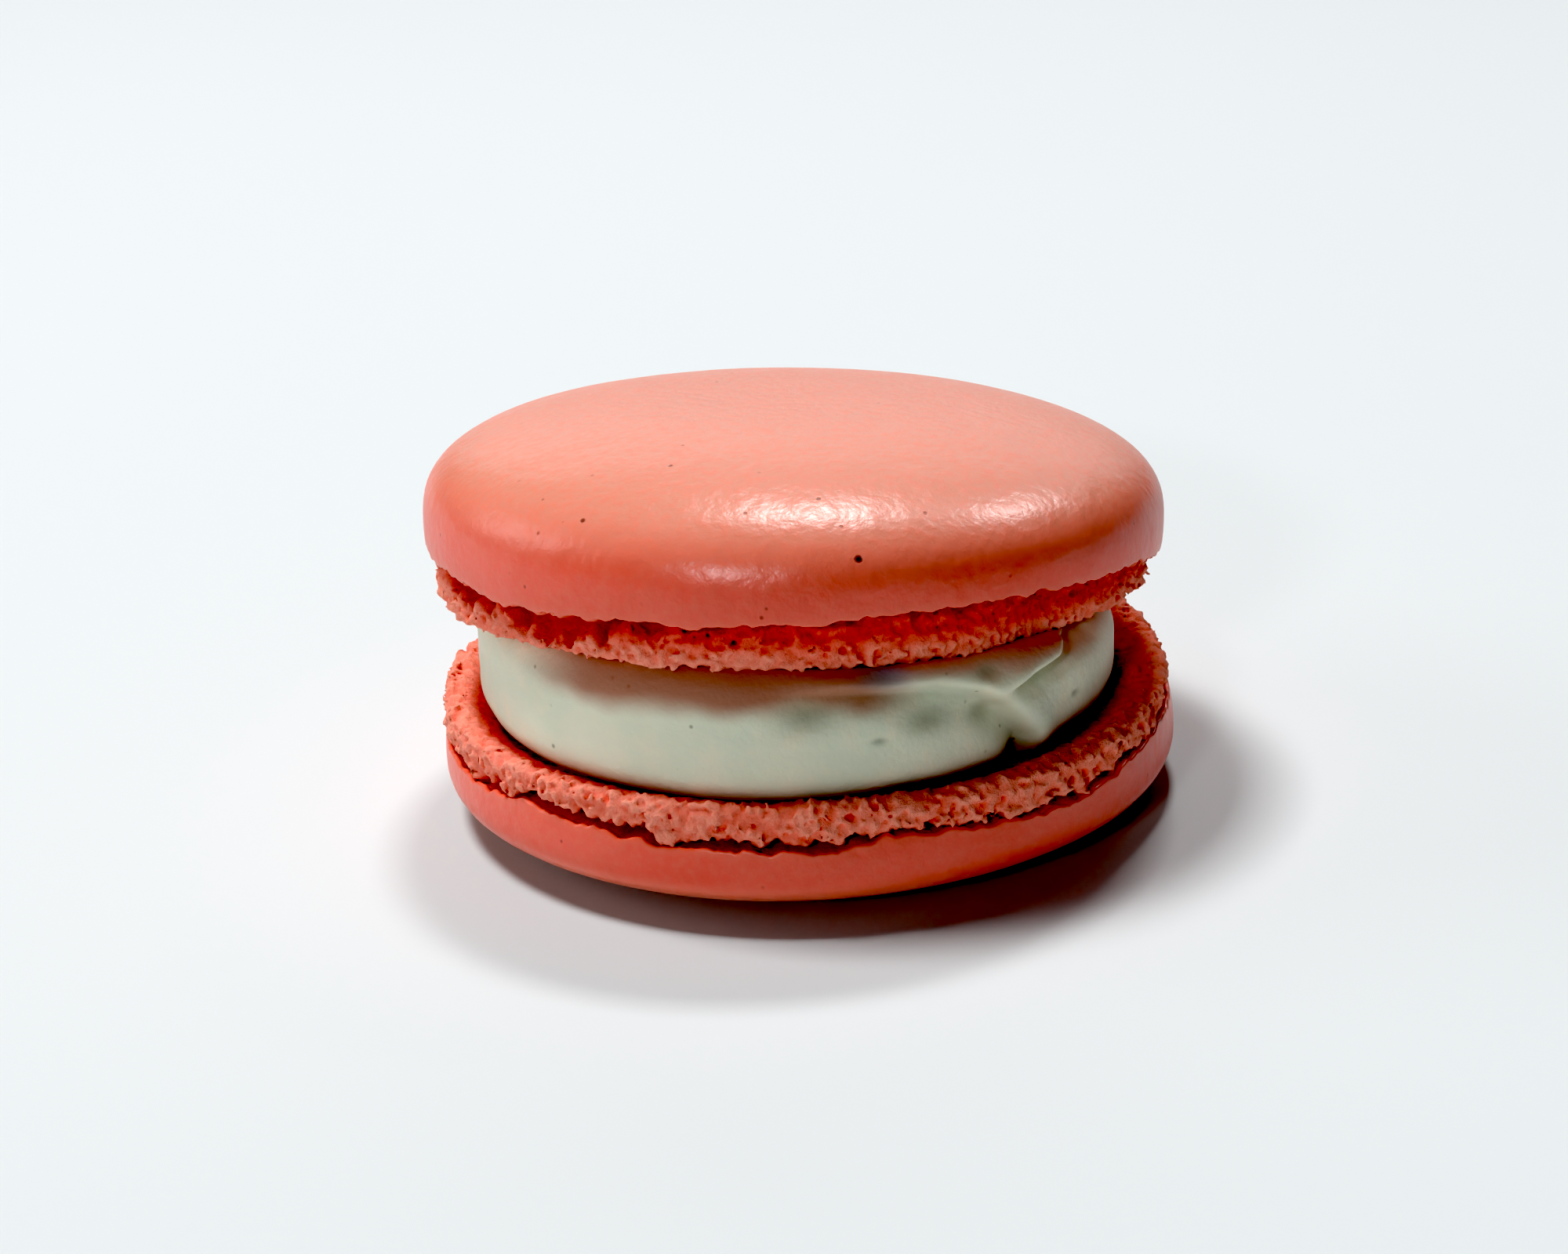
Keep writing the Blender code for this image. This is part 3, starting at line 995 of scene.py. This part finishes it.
    def _blow_bubbles(self, values: np.ndarray, flat: np.ndarray, tall: np.ndarray) -> None:
        """Hollow out round pores near the surface of the crumb.

        Args:
            values: Field of distances, changed in place.
            flat: Grid places along X and Y.
            tall: Grid places along Z.
        """
        bubbles = self.bubbles
        draw = np.random.default_rng(self.seed + Draw.BUBBLES.value)
        for on_side in (False, True):
            for _ in range(bubbles.count):
                angle = draw.uniform(-180.0, 180.0)
                seen = np.array([-angle if self.upturned else angle])
                foot = float(around(self.foot_edge, seen)[0])
                edge = float(around(self.skin_edge, seen)[0])
                size = bubbles.least + bubbles.spread * draw.random() ** bubbles.rarity
                if on_side:
                    radius = foot + self.foot_swell - draw.uniform(*bubbles.side_depths) * draw.random()
                    height = draw.uniform(bubbles.side_low, edge)
                else:
                    outer = foot + bubbles.face_past_foot
                    radius = math.sqrt(draw.uniform(bubbles.face_inner ** 2, outer ** 2))
                    share = float(ease(np.array((radius - self.dish_edge) / (foot - self.dish_edge))))
                    height = self.dish_depth * (1.0 - share) - bubbles.face_sink * size
                    size *= bubbles.face_size
                turn = math.radians(angle)
                centre = (radius * math.cos(turn), radius * math.sin(turn), height)
                self._hollow_shade(values, flat, tall, centre, size)

    def _hollow_shade(
        self, values: np.ndarray, flat: np.ndarray, tall: np.ndarray, centre: Triple, size: float
    ) -> None:
        """Cut one ball out of the field.

        Args:
            values: Field of distances, changed in place.
            flat: Grid places along X and Y.
            tall: Grid places along Z.
            centre: Centre of the ball.
            size: Its radius.
        """
        window = []
        reach = size + self.bubbles.rim
        for axis, places in zip(centre, (flat, flat, tall)):
            low, high = np.searchsorted(places, (axis - reach, axis + reach))
            window.append((max(low, 1), min(high, len(places) - 1)))
        (a, b), (c, d), (e, f) = window
        if a >= b or c >= d or e >= f:
            return
        dx = flat[a:b, None, None] - centre[0]
        dy = flat[None, c:d, None] - centre[1]
        dz = tall[None, None, e:f] - centre[2]
        ball = size - np.sqrt(dx * dx + dy * dy + dz * dz)
        values[a:b, c:d, e:f] = np.maximum(values[a:b, c:d, e:f], ball)

    def skin(self) -> bpy.types.Object:
        """The smooth baked skin from its torn edge to the top of the dome.

        Returns:
            The skin as a closed thin shell.
        """
        angle = np.arange(self.around_count) * FULL_TURN / self.around_count - 180.0
        turn = np.radians(angle)
        edge = self.torn_edge(angle)
        profile = []
        for share in np.linspace(0.0, 1.0, self.wall_rings)[:-1]:
            height = edge + (self.widest_height - edge) * share
            profile.append((self.dome_radius(height), height))
        power = 2.0 / self.dome_power
        bend = np.linspace(0.0, 0.5 * math.pi, 4001)
        dome_r = self.radius * np.cos(bend) ** power
        dome_z = self.widest_height + (self.height - self.widest_height) * np.sin(bend) ** power
        length = np.concatenate([[0.0], np.cumsum(np.hypot(np.diff(dome_r), np.diff(dome_z)))])
        for share in np.linspace(0.0, self.dome_end, self.dome_rings):
            r = np.interp(share * length[-1], length, dome_r)
            z = np.interp(share * length[-1], length, dome_z)
            profile.append((np.full_like(edge, r), np.full_like(edge, z)))
        outer = [self._swollen(self._ring(r, z, turn)) for r, z in profile]
        inner = []
        for drop, lift in (*self.edge_round, (self.skin_thickness, self.inner_lift)):
            inner.append(self._swollen(self._ring(self.dome_radius(edge) - drop, edge + lift, turn)))
        for share in (*self.inner_stops, self.dome_end):
            r = np.interp(share * length[-1], length, dome_r) - self.skin_thickness * (1.0 - share)
            z = np.interp(share * length[-1], length, dome_z) - self.skin_thickness * share
            inner.append(self._ring(np.full_like(edge, r), np.full_like(edge, z), turn))
        rings = inner[::-1] + outer
        points = np.concatenate(rings)
        faces = Mesh.ring_faces(len(rings), self.around_count)
        last = len(points) - self.around_count
        faces.append(list(range(last, len(points))))
        faces.append(list(range(self.around_count))[::-1])
        edge_height = np.tile(edge, len(rings))
        # The crown mark rises towards the top of the dome; the skin finish paints the paler top from it,
        # partly as a painted sheen.
        crown_rise = self.crown_share * (self.height - self.widest_height)
        crown = ease((points[:, 2] - self.widest_height) / crown_rise)
        marks = {"edge": points[:, 2] - edge_height, "crown": crown}
        return Mesh.make(self.prefix + "_skin", self.placed(points), faces, marks)

    @staticmethod
    def _ring(r: np.ndarray, z: np.ndarray, turn: np.ndarray) -> np.ndarray:
        """One ring of points."""
        return np.stack([r * np.cos(turn), r * np.sin(turn), z], -1)

    def _swollen(self, ring: np.ndarray) -> np.ndarray:
        """Give a ring the skin's slight unevenness.

        Args:
            ring: Points of the ring in the shell's own frame.

        Returns:
            The ring's points, moved in or out.
        """
        swell = self.lumps(Draw.SWELL, self.swell_sizes, self.swell_heights).at(ring)
        outward = ring - np.array([0.0, 0.0, self.widest_height - self.swell_depth])
        outward /= np.linalg.norm(outward, axis=1, keepdims=True)
        return ring + outward * swell[:, None] - outward * self.skin_inset

    def build(self) -> list[bpy.types.Object]:
        """Build and dress the shell.

        Returns:
            Its skin and its crumb.
        """
        skin = self.skin()
        spots = self.placed(np.array([pit[:3] for pit in self.pits]).reshape(-1, 3))
        pits = tuple((*spot, pit[3]) for spot, pit in zip(spots.tolist(), self.pits))
        skin.data.materials.append(SkinFinish(self.prefix + "_baked_skin", pits=pits).material())
        crumb = self.crumb()
        crumb.data.materials.append(CrumbFinish(self.prefix + "_broken_crumb").material())
        for piece in (skin, crumb):
            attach(piece, BODY)
            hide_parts(self.node)
        return [skin, crumb]


@dataclass(frozen=True)
class Fold:
    """A crease in the cream.

    Attributes:
        path: Pairs of an angle in degrees and a share of the cream's height.
        depth_start: Depth of the groove where the path starts.
        depth_end: Depth of the groove where it ends.
        groove: Width of the groove.
        lip: Height of the fold that hangs over the groove.
        lip_width: Width of that fold.
        fade_start: Whether the fold fades in at the path's start, or out at its end.
        fade_rate: How soon it fades, in path lengths.
        steep: Width of the groove's side under the lip, as a share of the groove.
        gentle: Width of its other side.
        crest_start: Distance over which the lip rises.
        shade: Width of the groove's painted shade.
    """

    path: Table
    depth_start: float
    depth_end: float
    groove: float
    lip: float
    lip_width: float
    fade_start: bool
    fade_rate: float = 5.0
    steep: float = 0.45
    gentle: float = 1.2
    crest_start: float = 0.3
    shade: float = 0.5


@dataclass(frozen=True)
class Cream:
    """The round of cream between the shells, sizes in millimetres.

    A hollow is an angle, a share of the height, a width and a depth. The painted shade band starts and ends
    at an angle, over a number of degrees. The top's painted red shade and the base's painted red bounce are
    each a strength and a width.
    """

    base: float
    top: Shell
    centre: Pair = CREAM_CENTRE
    radius: float = CREAM_RADIUS
    low_round: float = 2.1
    top_round: float = 1.7
    top_drop: float = 2.6
    around_count: int = 640
    side_rings: int = 84
    seed: int = 71
    folds: tuple[Fold, ...] = (
        Fold(((-98, 0.83), (-82, 0.82), (-66, 0.79), (-58, 0.69), (-52, 0.49), (-48, 0.24), (-47, 0.0)),
             0.30, 1.20, 1.10, 0.42, 1.2, True),
        Fold(((-24, 1.0), (-34, 0.92), (-38, 0.80), (-46, 0.74), (-54, 0.66)),
             1.0, 0.60, 0.70, 0.60, 0.8, False),
    )
    hollows: Pits = (
        (-89.0, 0.71, 0.9, 0.35), (-68.0, 0.60, 0.8, 0.2), (-56.0, 0.56, 0.7, 0.25),
        (-56.0, 0.88, 0.5, 0.25), (-76.0, 0.95, 0.7, 0.35), (-77.0, 0.49, 0.22, 0.12),
        (-34.0, 0.45, 0.2, 0.12),
    )
    hollow_shade_stretch: float = 1.8
    thin_low: float = 0.5
    thin_top: float = 0.4
    wall_start: float = 0.3
    wall_share: float = 0.38
    wave_sizes: Pair = (7.0, 2.6)
    wave_heights: Pair = (0.20, 0.06)
    streak_size: float = 2.4
    streak_height: float = 0.07
    streak_squeeze: Triple = (0.35, 0.35, 2.2)
    base_fade: float = 0.12
    top_fade: float = 0.1
    # A painted shade band at the front left, under the top shell's foot.
    shade_band_start: Pair = (-152.0, 25.0)
    shade_band_end: Pair = (-80.0, 14.0)
    shade_band_share: float = 0.85
    shade_band_depth: float = 1.5
    shade_band_fade: float = 1.7
    blotch_sizes: Pair = (3.5, 1.3)
    blotch_shares: Pair = (0.5, 0.35)
    blotch_height: float = 0.7
    # Painted red shade at the top contact and painted red bounce light at the base.
    top_tinge: Pair = (0.45, 0.8)
    base_tinge: Pair = (0.28, 1.3)
    smear: Pair = (-75.0, 0.98)
    smear_stretch: float = 1.9
    smear_width: float = 0.75
    # Strength of the painted shade along the fold grooves.
    groove_shade: float = 0.5

    def ceiling(self, x: np.ndarray, y: np.ndarray) -> np.ndarray:
        """Height of the top shell's crumb plane.

        Args:
            x: Places along X.
            y: Places along Y.

        Returns:
            The plane's height at each place.
        """
        slope_x = -math.tan(math.radians(self.top.lean)) / math.cos(math.radians(self.top.nod))
        slope_y = math.tan(math.radians(self.top.nod))
        shift_x, shift_y, shift_z = self.top.shift
        return shift_z + slope_x * (x - shift_x) + slope_y * (y - shift_y)

    def thickness(self, angle: np.ndarray) -> np.ndarray:
        """Thickness of the cream at its side.

        Args:
            angle: Angles in degrees, seen from above.

        Returns:
            Height from the cream's base to the top shell at each angle.
        """
        turn = np.radians(angle)
        x = self.centre[0] + self.radius * np.cos(turn)
        y = self.centre[1] + self.radius * np.sin(turn)
        return self.ceiling(x, y) - self.base

    def fold_relief(self, fold: Fold, across: np.ndarray, up: np.ndarray) -> tuple[np.ndarray, np.ndarray]:
        """Relief of one crease on the unrolled side.

        Args:
            fold: The crease.
            across: Place along the side.
            up: Height above the cream's base.

        Returns:
            Outward relief and the strength of the groove.
        """
        angles = np.array([angle for angle, _ in fold.path], float)
        knots_x = np.radians(angles) * self.radius
        knots_z = np.array([share for _, share in fold.path]) * self.thickness(angles)
        best = np.full(across.shape, 1e9)
        side = np.zeros(across.shape)
        place = np.zeros(across.shape)
        for k in range(len(angles) - 1):
            run_x, run_z = knots_x[k + 1] - knots_x[k], knots_z[k + 1] - knots_z[k]
            travel = (across - knots_x[k]) * run_x + (up - knots_z[k]) * run_z
            along = np.clip(travel / (run_x ** 2 + run_z ** 2), 0, 1)
            off_x = across - knots_x[k] - along * run_x
            off_z = up - knots_z[k] - along * run_z
            distance = np.hypot(off_x, off_z)
            closer = distance < best
            turned = np.where(run_x * off_z - run_z * off_x > 0.0, 1.0, -1.0)
            best = np.where(closer, distance, best)
            side = np.where(closer, turned if angles[0] < angles[-1] else -turned, side)
            place = np.where(closer, (k + along) / (len(angles) - 1), place)
        depth = fold.depth_start + (fold.depth_end - fold.depth_start) * place
        fade = ease((place if fold.fade_start else 1.0 - place) * fold.fade_rate)
        signed = best * side
        steep, gentle = (bell(best, share * fold.groove) for share in (fold.steep, fold.gentle))
        groove = np.where(signed > 0.0, steep, gentle)
        crest = bell(signed - fold.lip_width, fold.lip_width) * ease(signed / fold.crest_start)
        return fade * (fold.lip * crest - depth * groove), fade * bell(best, fold.shade * fold.groove)

    def build(self) -> bpy.types.Object:
        """Build and dress the cream.

        Returns:
            The cream as an object.
        """
        angle = np.arange(self.around_count) * FULL_TURN / self.around_count - 180.0
        share = np.linspace(0.0, 1.0, self.side_rings)
        angles, shares = np.meshgrid(angle, share)
        thick = self.thickness(angles)
        low = np.minimum(self.low_round, self.thin_low * thick)
        drop = np.minimum(self.top_drop, self.thin_top * thick)
        wall_end = self.wall_start + self.wall_share
        low_bend = np.clip(shares / self.wall_start, 0.0, 1.0) * 0.5 * math.pi
        top_bend = np.clip((shares - wall_end) / (1.0 - wall_end), 0.0, 1.0) * 0.5 * math.pi
        middle = np.clip((shares - self.wall_start) / self.wall_share, 0.0, 1.0)
        radius = self.radius - self.low_round * (1.0 - np.sin(low_bend))
        radius = radius - self.top_round * (1.0 - np.cos(top_bend))
        height = low * (1.0 - np.cos(low_bend)) + (thick - low - drop) * middle + drop * np.sin(top_bend)
        turn = np.radians(angles)
        across = turn * self.radius
        relief = np.zeros_like(radius)
        groove = np.zeros_like(radius)
        for fold in self.folds:
            add, strength = self.fold_relief(fold, across, height)
            relief += add
            groove = np.maximum(groove, strength)
        # The hollows are dents that also get painted shade through the hollow mark.
        hollow_shade = np.zeros_like(radius)
        for at_angle, at_share, width, depth in self.hollows:
            aside = (across - math.radians(at_angle) * self.radius) / self.hollow_shade_stretch
            off = np.hypot(aside, height - at_share * thick)
            relief -= depth * bell(off, width)
            hollow_shade = np.maximum(hollow_shade, bell(off, width))
        spots = np.stack([radius * np.cos(turn), radius * np.sin(turn), height], -1).reshape(-1, 3)
        wave = Lumps(self.seed, self.wave_sizes, self.wave_heights).at(spots)
        streaks = Lumps(self.seed + 1, (self.streak_size,), (self.streak_height,))
        streak = streaks.at(spots * np.array(self.streak_squeeze))
        ends = np.minimum(ease(shares / self.base_fade), ease((1.0 - shares) / self.top_fade)).reshape(-1)
        relief = relief.reshape(-1) * ends + (wave + streak) * ends
        radius = radius.reshape(-1) + relief
        x = self.centre[0] + radius * np.cos(turn.reshape(-1))
        y = self.centre[1] + radius * np.sin(turn.reshape(-1))
        top = self.ceiling(x, y)
        z = np.minimum(self.base + height.reshape(-1), top)
        points = np.stack([x, y, z], -1) + STAND
        centre = np.array([[self.centre[0], self.centre[1], self.base]]) + STAND
        crown = centre + np.array([[0.0, 0.0, float(self.ceiling(*self.centre)) - self.base]])
        faces = Mesh.ring_faces(self.side_rings, self.around_count)
        count = len(points)
        last = count - self.around_count
        for k in range(self.around_count):
            after = (k + 1) % self.around_count
            faces.append((after, k, count))
            faces.append((last + k, last + after, count + 1))
        points = np.concatenate([points, centre, crown])
        seen = angles.reshape(-1)
        # Painted shade: a reddish band under the top shell at the front left, plus painted red bounce along
        # the top and the base.
        (start, rise), (end, fall) = self.shade_band_start, self.shade_band_end
        in_shade_band = ease((seen - start) / rise) * (1.0 - ease((seen - end) / fall))
        blotchy = Lumps(self.seed + 2, self.blotch_sizes, self.blotch_shares).at(spots)
        below = top - z - self.shade_band_depth - self.blotch_height * blotchy
        tinge = self.shade_band_share * in_shade_band * ease(1.0 - below / self.shade_band_fade)
        for gap, (strength, width) in ((top - z, self.top_tinge), (z - self.base, self.base_tinge)):
            tinge = np.maximum(tinge, strength * bell(gap, width))
        smear_along = (across - math.radians(self.smear[0]) * self.radius).reshape(-1)
        smear_down = (height - self.smear[1] * thick).reshape(-1)
        smear = bell(np.hypot(smear_along / self.smear_stretch, smear_down), self.smear_width)
        extra = np.zeros(2)
        marks = {
            "tinge": np.concatenate([np.clip(tinge, 0.0, 1.0), extra]),
            "hollow_shade": np.concatenate([np.maximum(hollow_shade, self.groove_shade * groove).reshape(-1), extra]),
            "smear": np.concatenate([smear, extra]),
        }
        thing = Mesh.make("cream", points, faces, marks)
        thing.data.materials.append(CreamFinish("piped_cream").material())
        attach(thing, BODY)
        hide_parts("filling")
        return thing


@dataclass(frozen=True)
class Softbox:
    """An area light.

    Attributes:
        name: Object name.
        azimuth: Direction in degrees, seen from above, with the camera at -90.
        elevation: Height above the horizon in degrees.
        distance: Distance from the macaron in metres.
        width: Width in metres.
        length: Length in metres.
        power: Power in watts.
        use: What surfaces take from the light.
        colour: Colour of the light.
    """

    name: str
    azimuth: float
    elevation: float
    distance: float
    width: float
    length: float
    power: float
    use: LightUse = LightUse.ALL
    colour: Colour = (1.0, 1.0, 1.0)

    def hang(self, aim: Vector) -> bpy.types.Object:
        """Place the light so that it faces a point.

        Args:
            aim: The point, in metres.

        Returns:
            The light.
        """
        light = bpy.data.lights.new(self.name, "AREA")
        light.shape = "RECTANGLE"
        light.size = self.width
        light.size_y = self.length
        light.energy = self.power
        light.color = self.colour
        thing = bpy.data.objects.new(self.name, light)
        a, e = math.radians(self.azimuth), math.radians(self.elevation)
        away = Vector((math.cos(a) * math.cos(e), math.sin(a) * math.cos(e), math.sin(e)))
        thing.location = aim + away * self.distance
        thing.rotation_mode = "QUATERNION"
        thing.rotation_quaternion = away.to_track_quat("Z", "Y")
        thing.visible_glossy = self.use is not LightUse.MATT
        thing.visible_diffuse = self.use is not LightUse.GLOSS
        bpy.context.scene.collection.objects.link(thing)
        return thing


@dataclass(frozen=True)
class Studio:
    """Floor, light and camera."""

    elevation: float = 0.37025
    roll: float = -0.05064
    aim: Triple = (-1.210, 0.0, 10.112)
    distance: float = 210.0
    focal_pixels: float = 4410.0
    near_clip: float = 0.005
    far_clip: float = 20.0
    light_aim: Triple = (0.0, 0.0, 0.012)
    sky: Colour = (0.93, 0.98, 1.0)
    sky_strength: float = 0.95
    table_radius: float = 0.75
    table_sides: int = 96
    black_level: float = 0.075
    softboxes: tuple[Softbox, ...] = (
        Softbox("key_softbox", 162.0, 71.0, 0.9, 0.22, 0.22, 6.8, LightUse.MATT),
        Softbox("top_softbox", 75.0, 67.0, 0.9, 0.13, 0.09, 3.2),
        Softbox("side_softbox", 38.0, 46.0, 0.9, 0.10, 0.06, 1.7, LightUse.GLOSS),
        Softbox("back_panel", 85.0, 20.0, 1.2, 1.20, 0.70, 2.3),
        Softbox("left_panel", 172.0, 24.0, 1.2, 0.70, 0.50, 2.3, colour=BLUISH),
        Softbox("low_softbox", -110.0, 23.0, 0.9, 0.12, 0.06, 1.5, colour=BLUISH),
    )

    def floor(self) -> bpy.types.Object:
        """Lay the table top, a wide flat disc.

        Returns:
            The disc.
        """
        mesh = bmesh.new()
        bmesh.ops.create_circle(mesh, cap_ends=True, segments=self.table_sides, radius=self.table_radius)
        data = bpy.data.meshes.new("table_top")
        mesh.to_mesh(data)
        mesh.free()
        thing = bpy.data.objects.new("table_top", data)
        bpy.context.scene.collection.objects.link(thing)
        data.materials.append(FloorFinish().material())
        return thing

    def camera(self) -> bpy.types.Object:
        """Set up the camera at the photograph's viewing angle.

        Returns:
            The camera.
        """
        data = bpy.data.cameras.new("photo_camera")
        data.sensor_width = SENSOR_WIDTH
        data.lens = self.focal_pixels * SENSOR_WIDTH / FRAME_WIDTH
        data.clip_start = self.near_clip
        data.clip_end = self.far_clip
        cos_e, sin_e = math.cos(self.elevation), math.sin(self.elevation)
        forward = Vector((0.0, cos_e, -sin_e))
        right = Vector((1.0, 0.0, 0.0))
        up = right.cross(forward)
        cos_r, sin_r = math.cos(self.roll), math.sin(self.roll)
        turned_right = right * cos_r + up * sin_r
        turned_up = up * cos_r - right * sin_r
        aim = Vector(self.aim) + Vector(STAND)
        thing = bpy.data.objects.new("photo_camera", data)
        turn = Matrix((turned_right, turned_up, -forward)).transposed()
        thing.matrix_world = Matrix.Translation((aim - forward * self.distance) * MM) @ turn.to_4x4()
        bpy.context.scene.collection.objects.link(thing)
        bpy.context.scene.camera = thing
        return thing

    def build(self) -> None:
        """Set up the floor, the lights, the sky and the camera."""
        self.floor()
        for softbox in self.softboxes:
            softbox.hang(Vector(self.light_aim))
        world = bpy.data.worlds.new("pale_room")
        world.use_nodes = True
        background = world.node_tree.nodes["Background"]
        background.inputs["Color"].default_value = (*self.sky, 1.0)
        background.inputs["Strength"].default_value = self.sky_strength
        for ray in ("diffuse", "glossy", "transmission", "scatter"):
            setattr(world.cycles_visibility, ray, False)
        bpy.context.scene.world = world
        view = bpy.context.scene.view_settings
        view.view_transform = "Standard"
        view.use_curve_mapping = True
        view.curve_mapping.black_level = (self.black_level,) * 3
        self.camera()


TOP_SHELL = Shell(
    node="top_shell",
    prefix="top",
    radius=22.26,
    height=11.42,
    widest_height=4.61,
    dome_power=2.57,
    dish_depth=0.0,
    crack_depth=1.3,
    upturned=False,
    seed=11,
    skin_edge=((-165, 3.0), (-137, 2.55), (-100, 2.9), (-72, 3.7), (-34, 3.8),
               (-5, 3.1), (60, 3.3), (130, 2.9)),
    foot_edge=((-172, 20.9), (-147, 21.1), (-125, 20.4), (-90, 19.7), (-66, 19.2), (-43, 18.2),
               (-16, 19.6), (2, 21.0), (60, 20.9), (120, 20.6)),
    crack_opening=((-160, 1.2), (-133, 1.7), (-112, 1.1), (-93, 0.6), (-66, 0.7), (-40, 0.8),
                   (-8, 0.7), (70, 1.0), (140, 0.8)),
    nod=-6.03,
    lean=2.94,
    shift=(-0.557, 0.482, 12.908),
    pits=((-11.85, -17.24, 7.84, 0.20), (3.23, -21.59, 6.72, 0.27), (1.12, -18.36, 9.31, 0.16),
          (-7.07, -13.88, 10.19, 0.17), (2.31, -20.31, 8.22, 0.13), (6.97, -18.63, 8.58, 0.14),
          (-2.89, -19.36, 8.76, 0.13)),
)
BOTTOM_SHELL = Shell(
    node="bottom_shell",
    prefix="bottom",
    radius=22.27,
    height=7.76,
    widest_height=4.17,
    dome_power=2.83,
    dish_depth=0.8,
    crack_depth=0.9,
    upturned=True,
    seed=47,
    crack_ragged=(0.6, 1.1, 0.9),
    skin_edge=((-157, 2.65), (-133, 2.1), (-112, 2.5), (-93, 2.75), (-77, 2.15),
               (-48, 2.8), (-19, 2.1), (60, 2.6), (130, 2.3)),
    foot_edge=((-150, 21.4), (-90, 21.3), (-45, 21.5), (0, 21.2), (90, 21.4)),
    foot_swell=0.6,
    crack_opening=((-155, 0.5), (-127, 0.5), (-112, 0.35), (-97, 0.5), (-80, 0.35), (-52, 0.5), (-30, 0.6),
                   (60, 0.45), (130, 0.4)),
    ring_shade_centre=CREAM_CENTRE,
    ring_shade_radius=CREAM_RADIUS,
)
FILLING = Cream(base=BOTTOM_SHELL.height - BOTTOM_SHELL.dish_depth, top=TOP_SHELL)


def main() -> None:
    """Build the macaron and its studio, and report each piece."""
    logging.basicConfig(level=logging.INFO, format="%(name)s: %(message)s")
    pieces = [*BOTTOM_SHELL.build(), FILLING.build(), *TOP_SHELL.build()]
    for piece in pieces:
        piece.data.calc_loop_triangles()
        LOG.info("%s: %d triangles", piece.name, len(piece.data.loop_triangles))
    Studio().build()


if __name__ == "__main__":
    main()
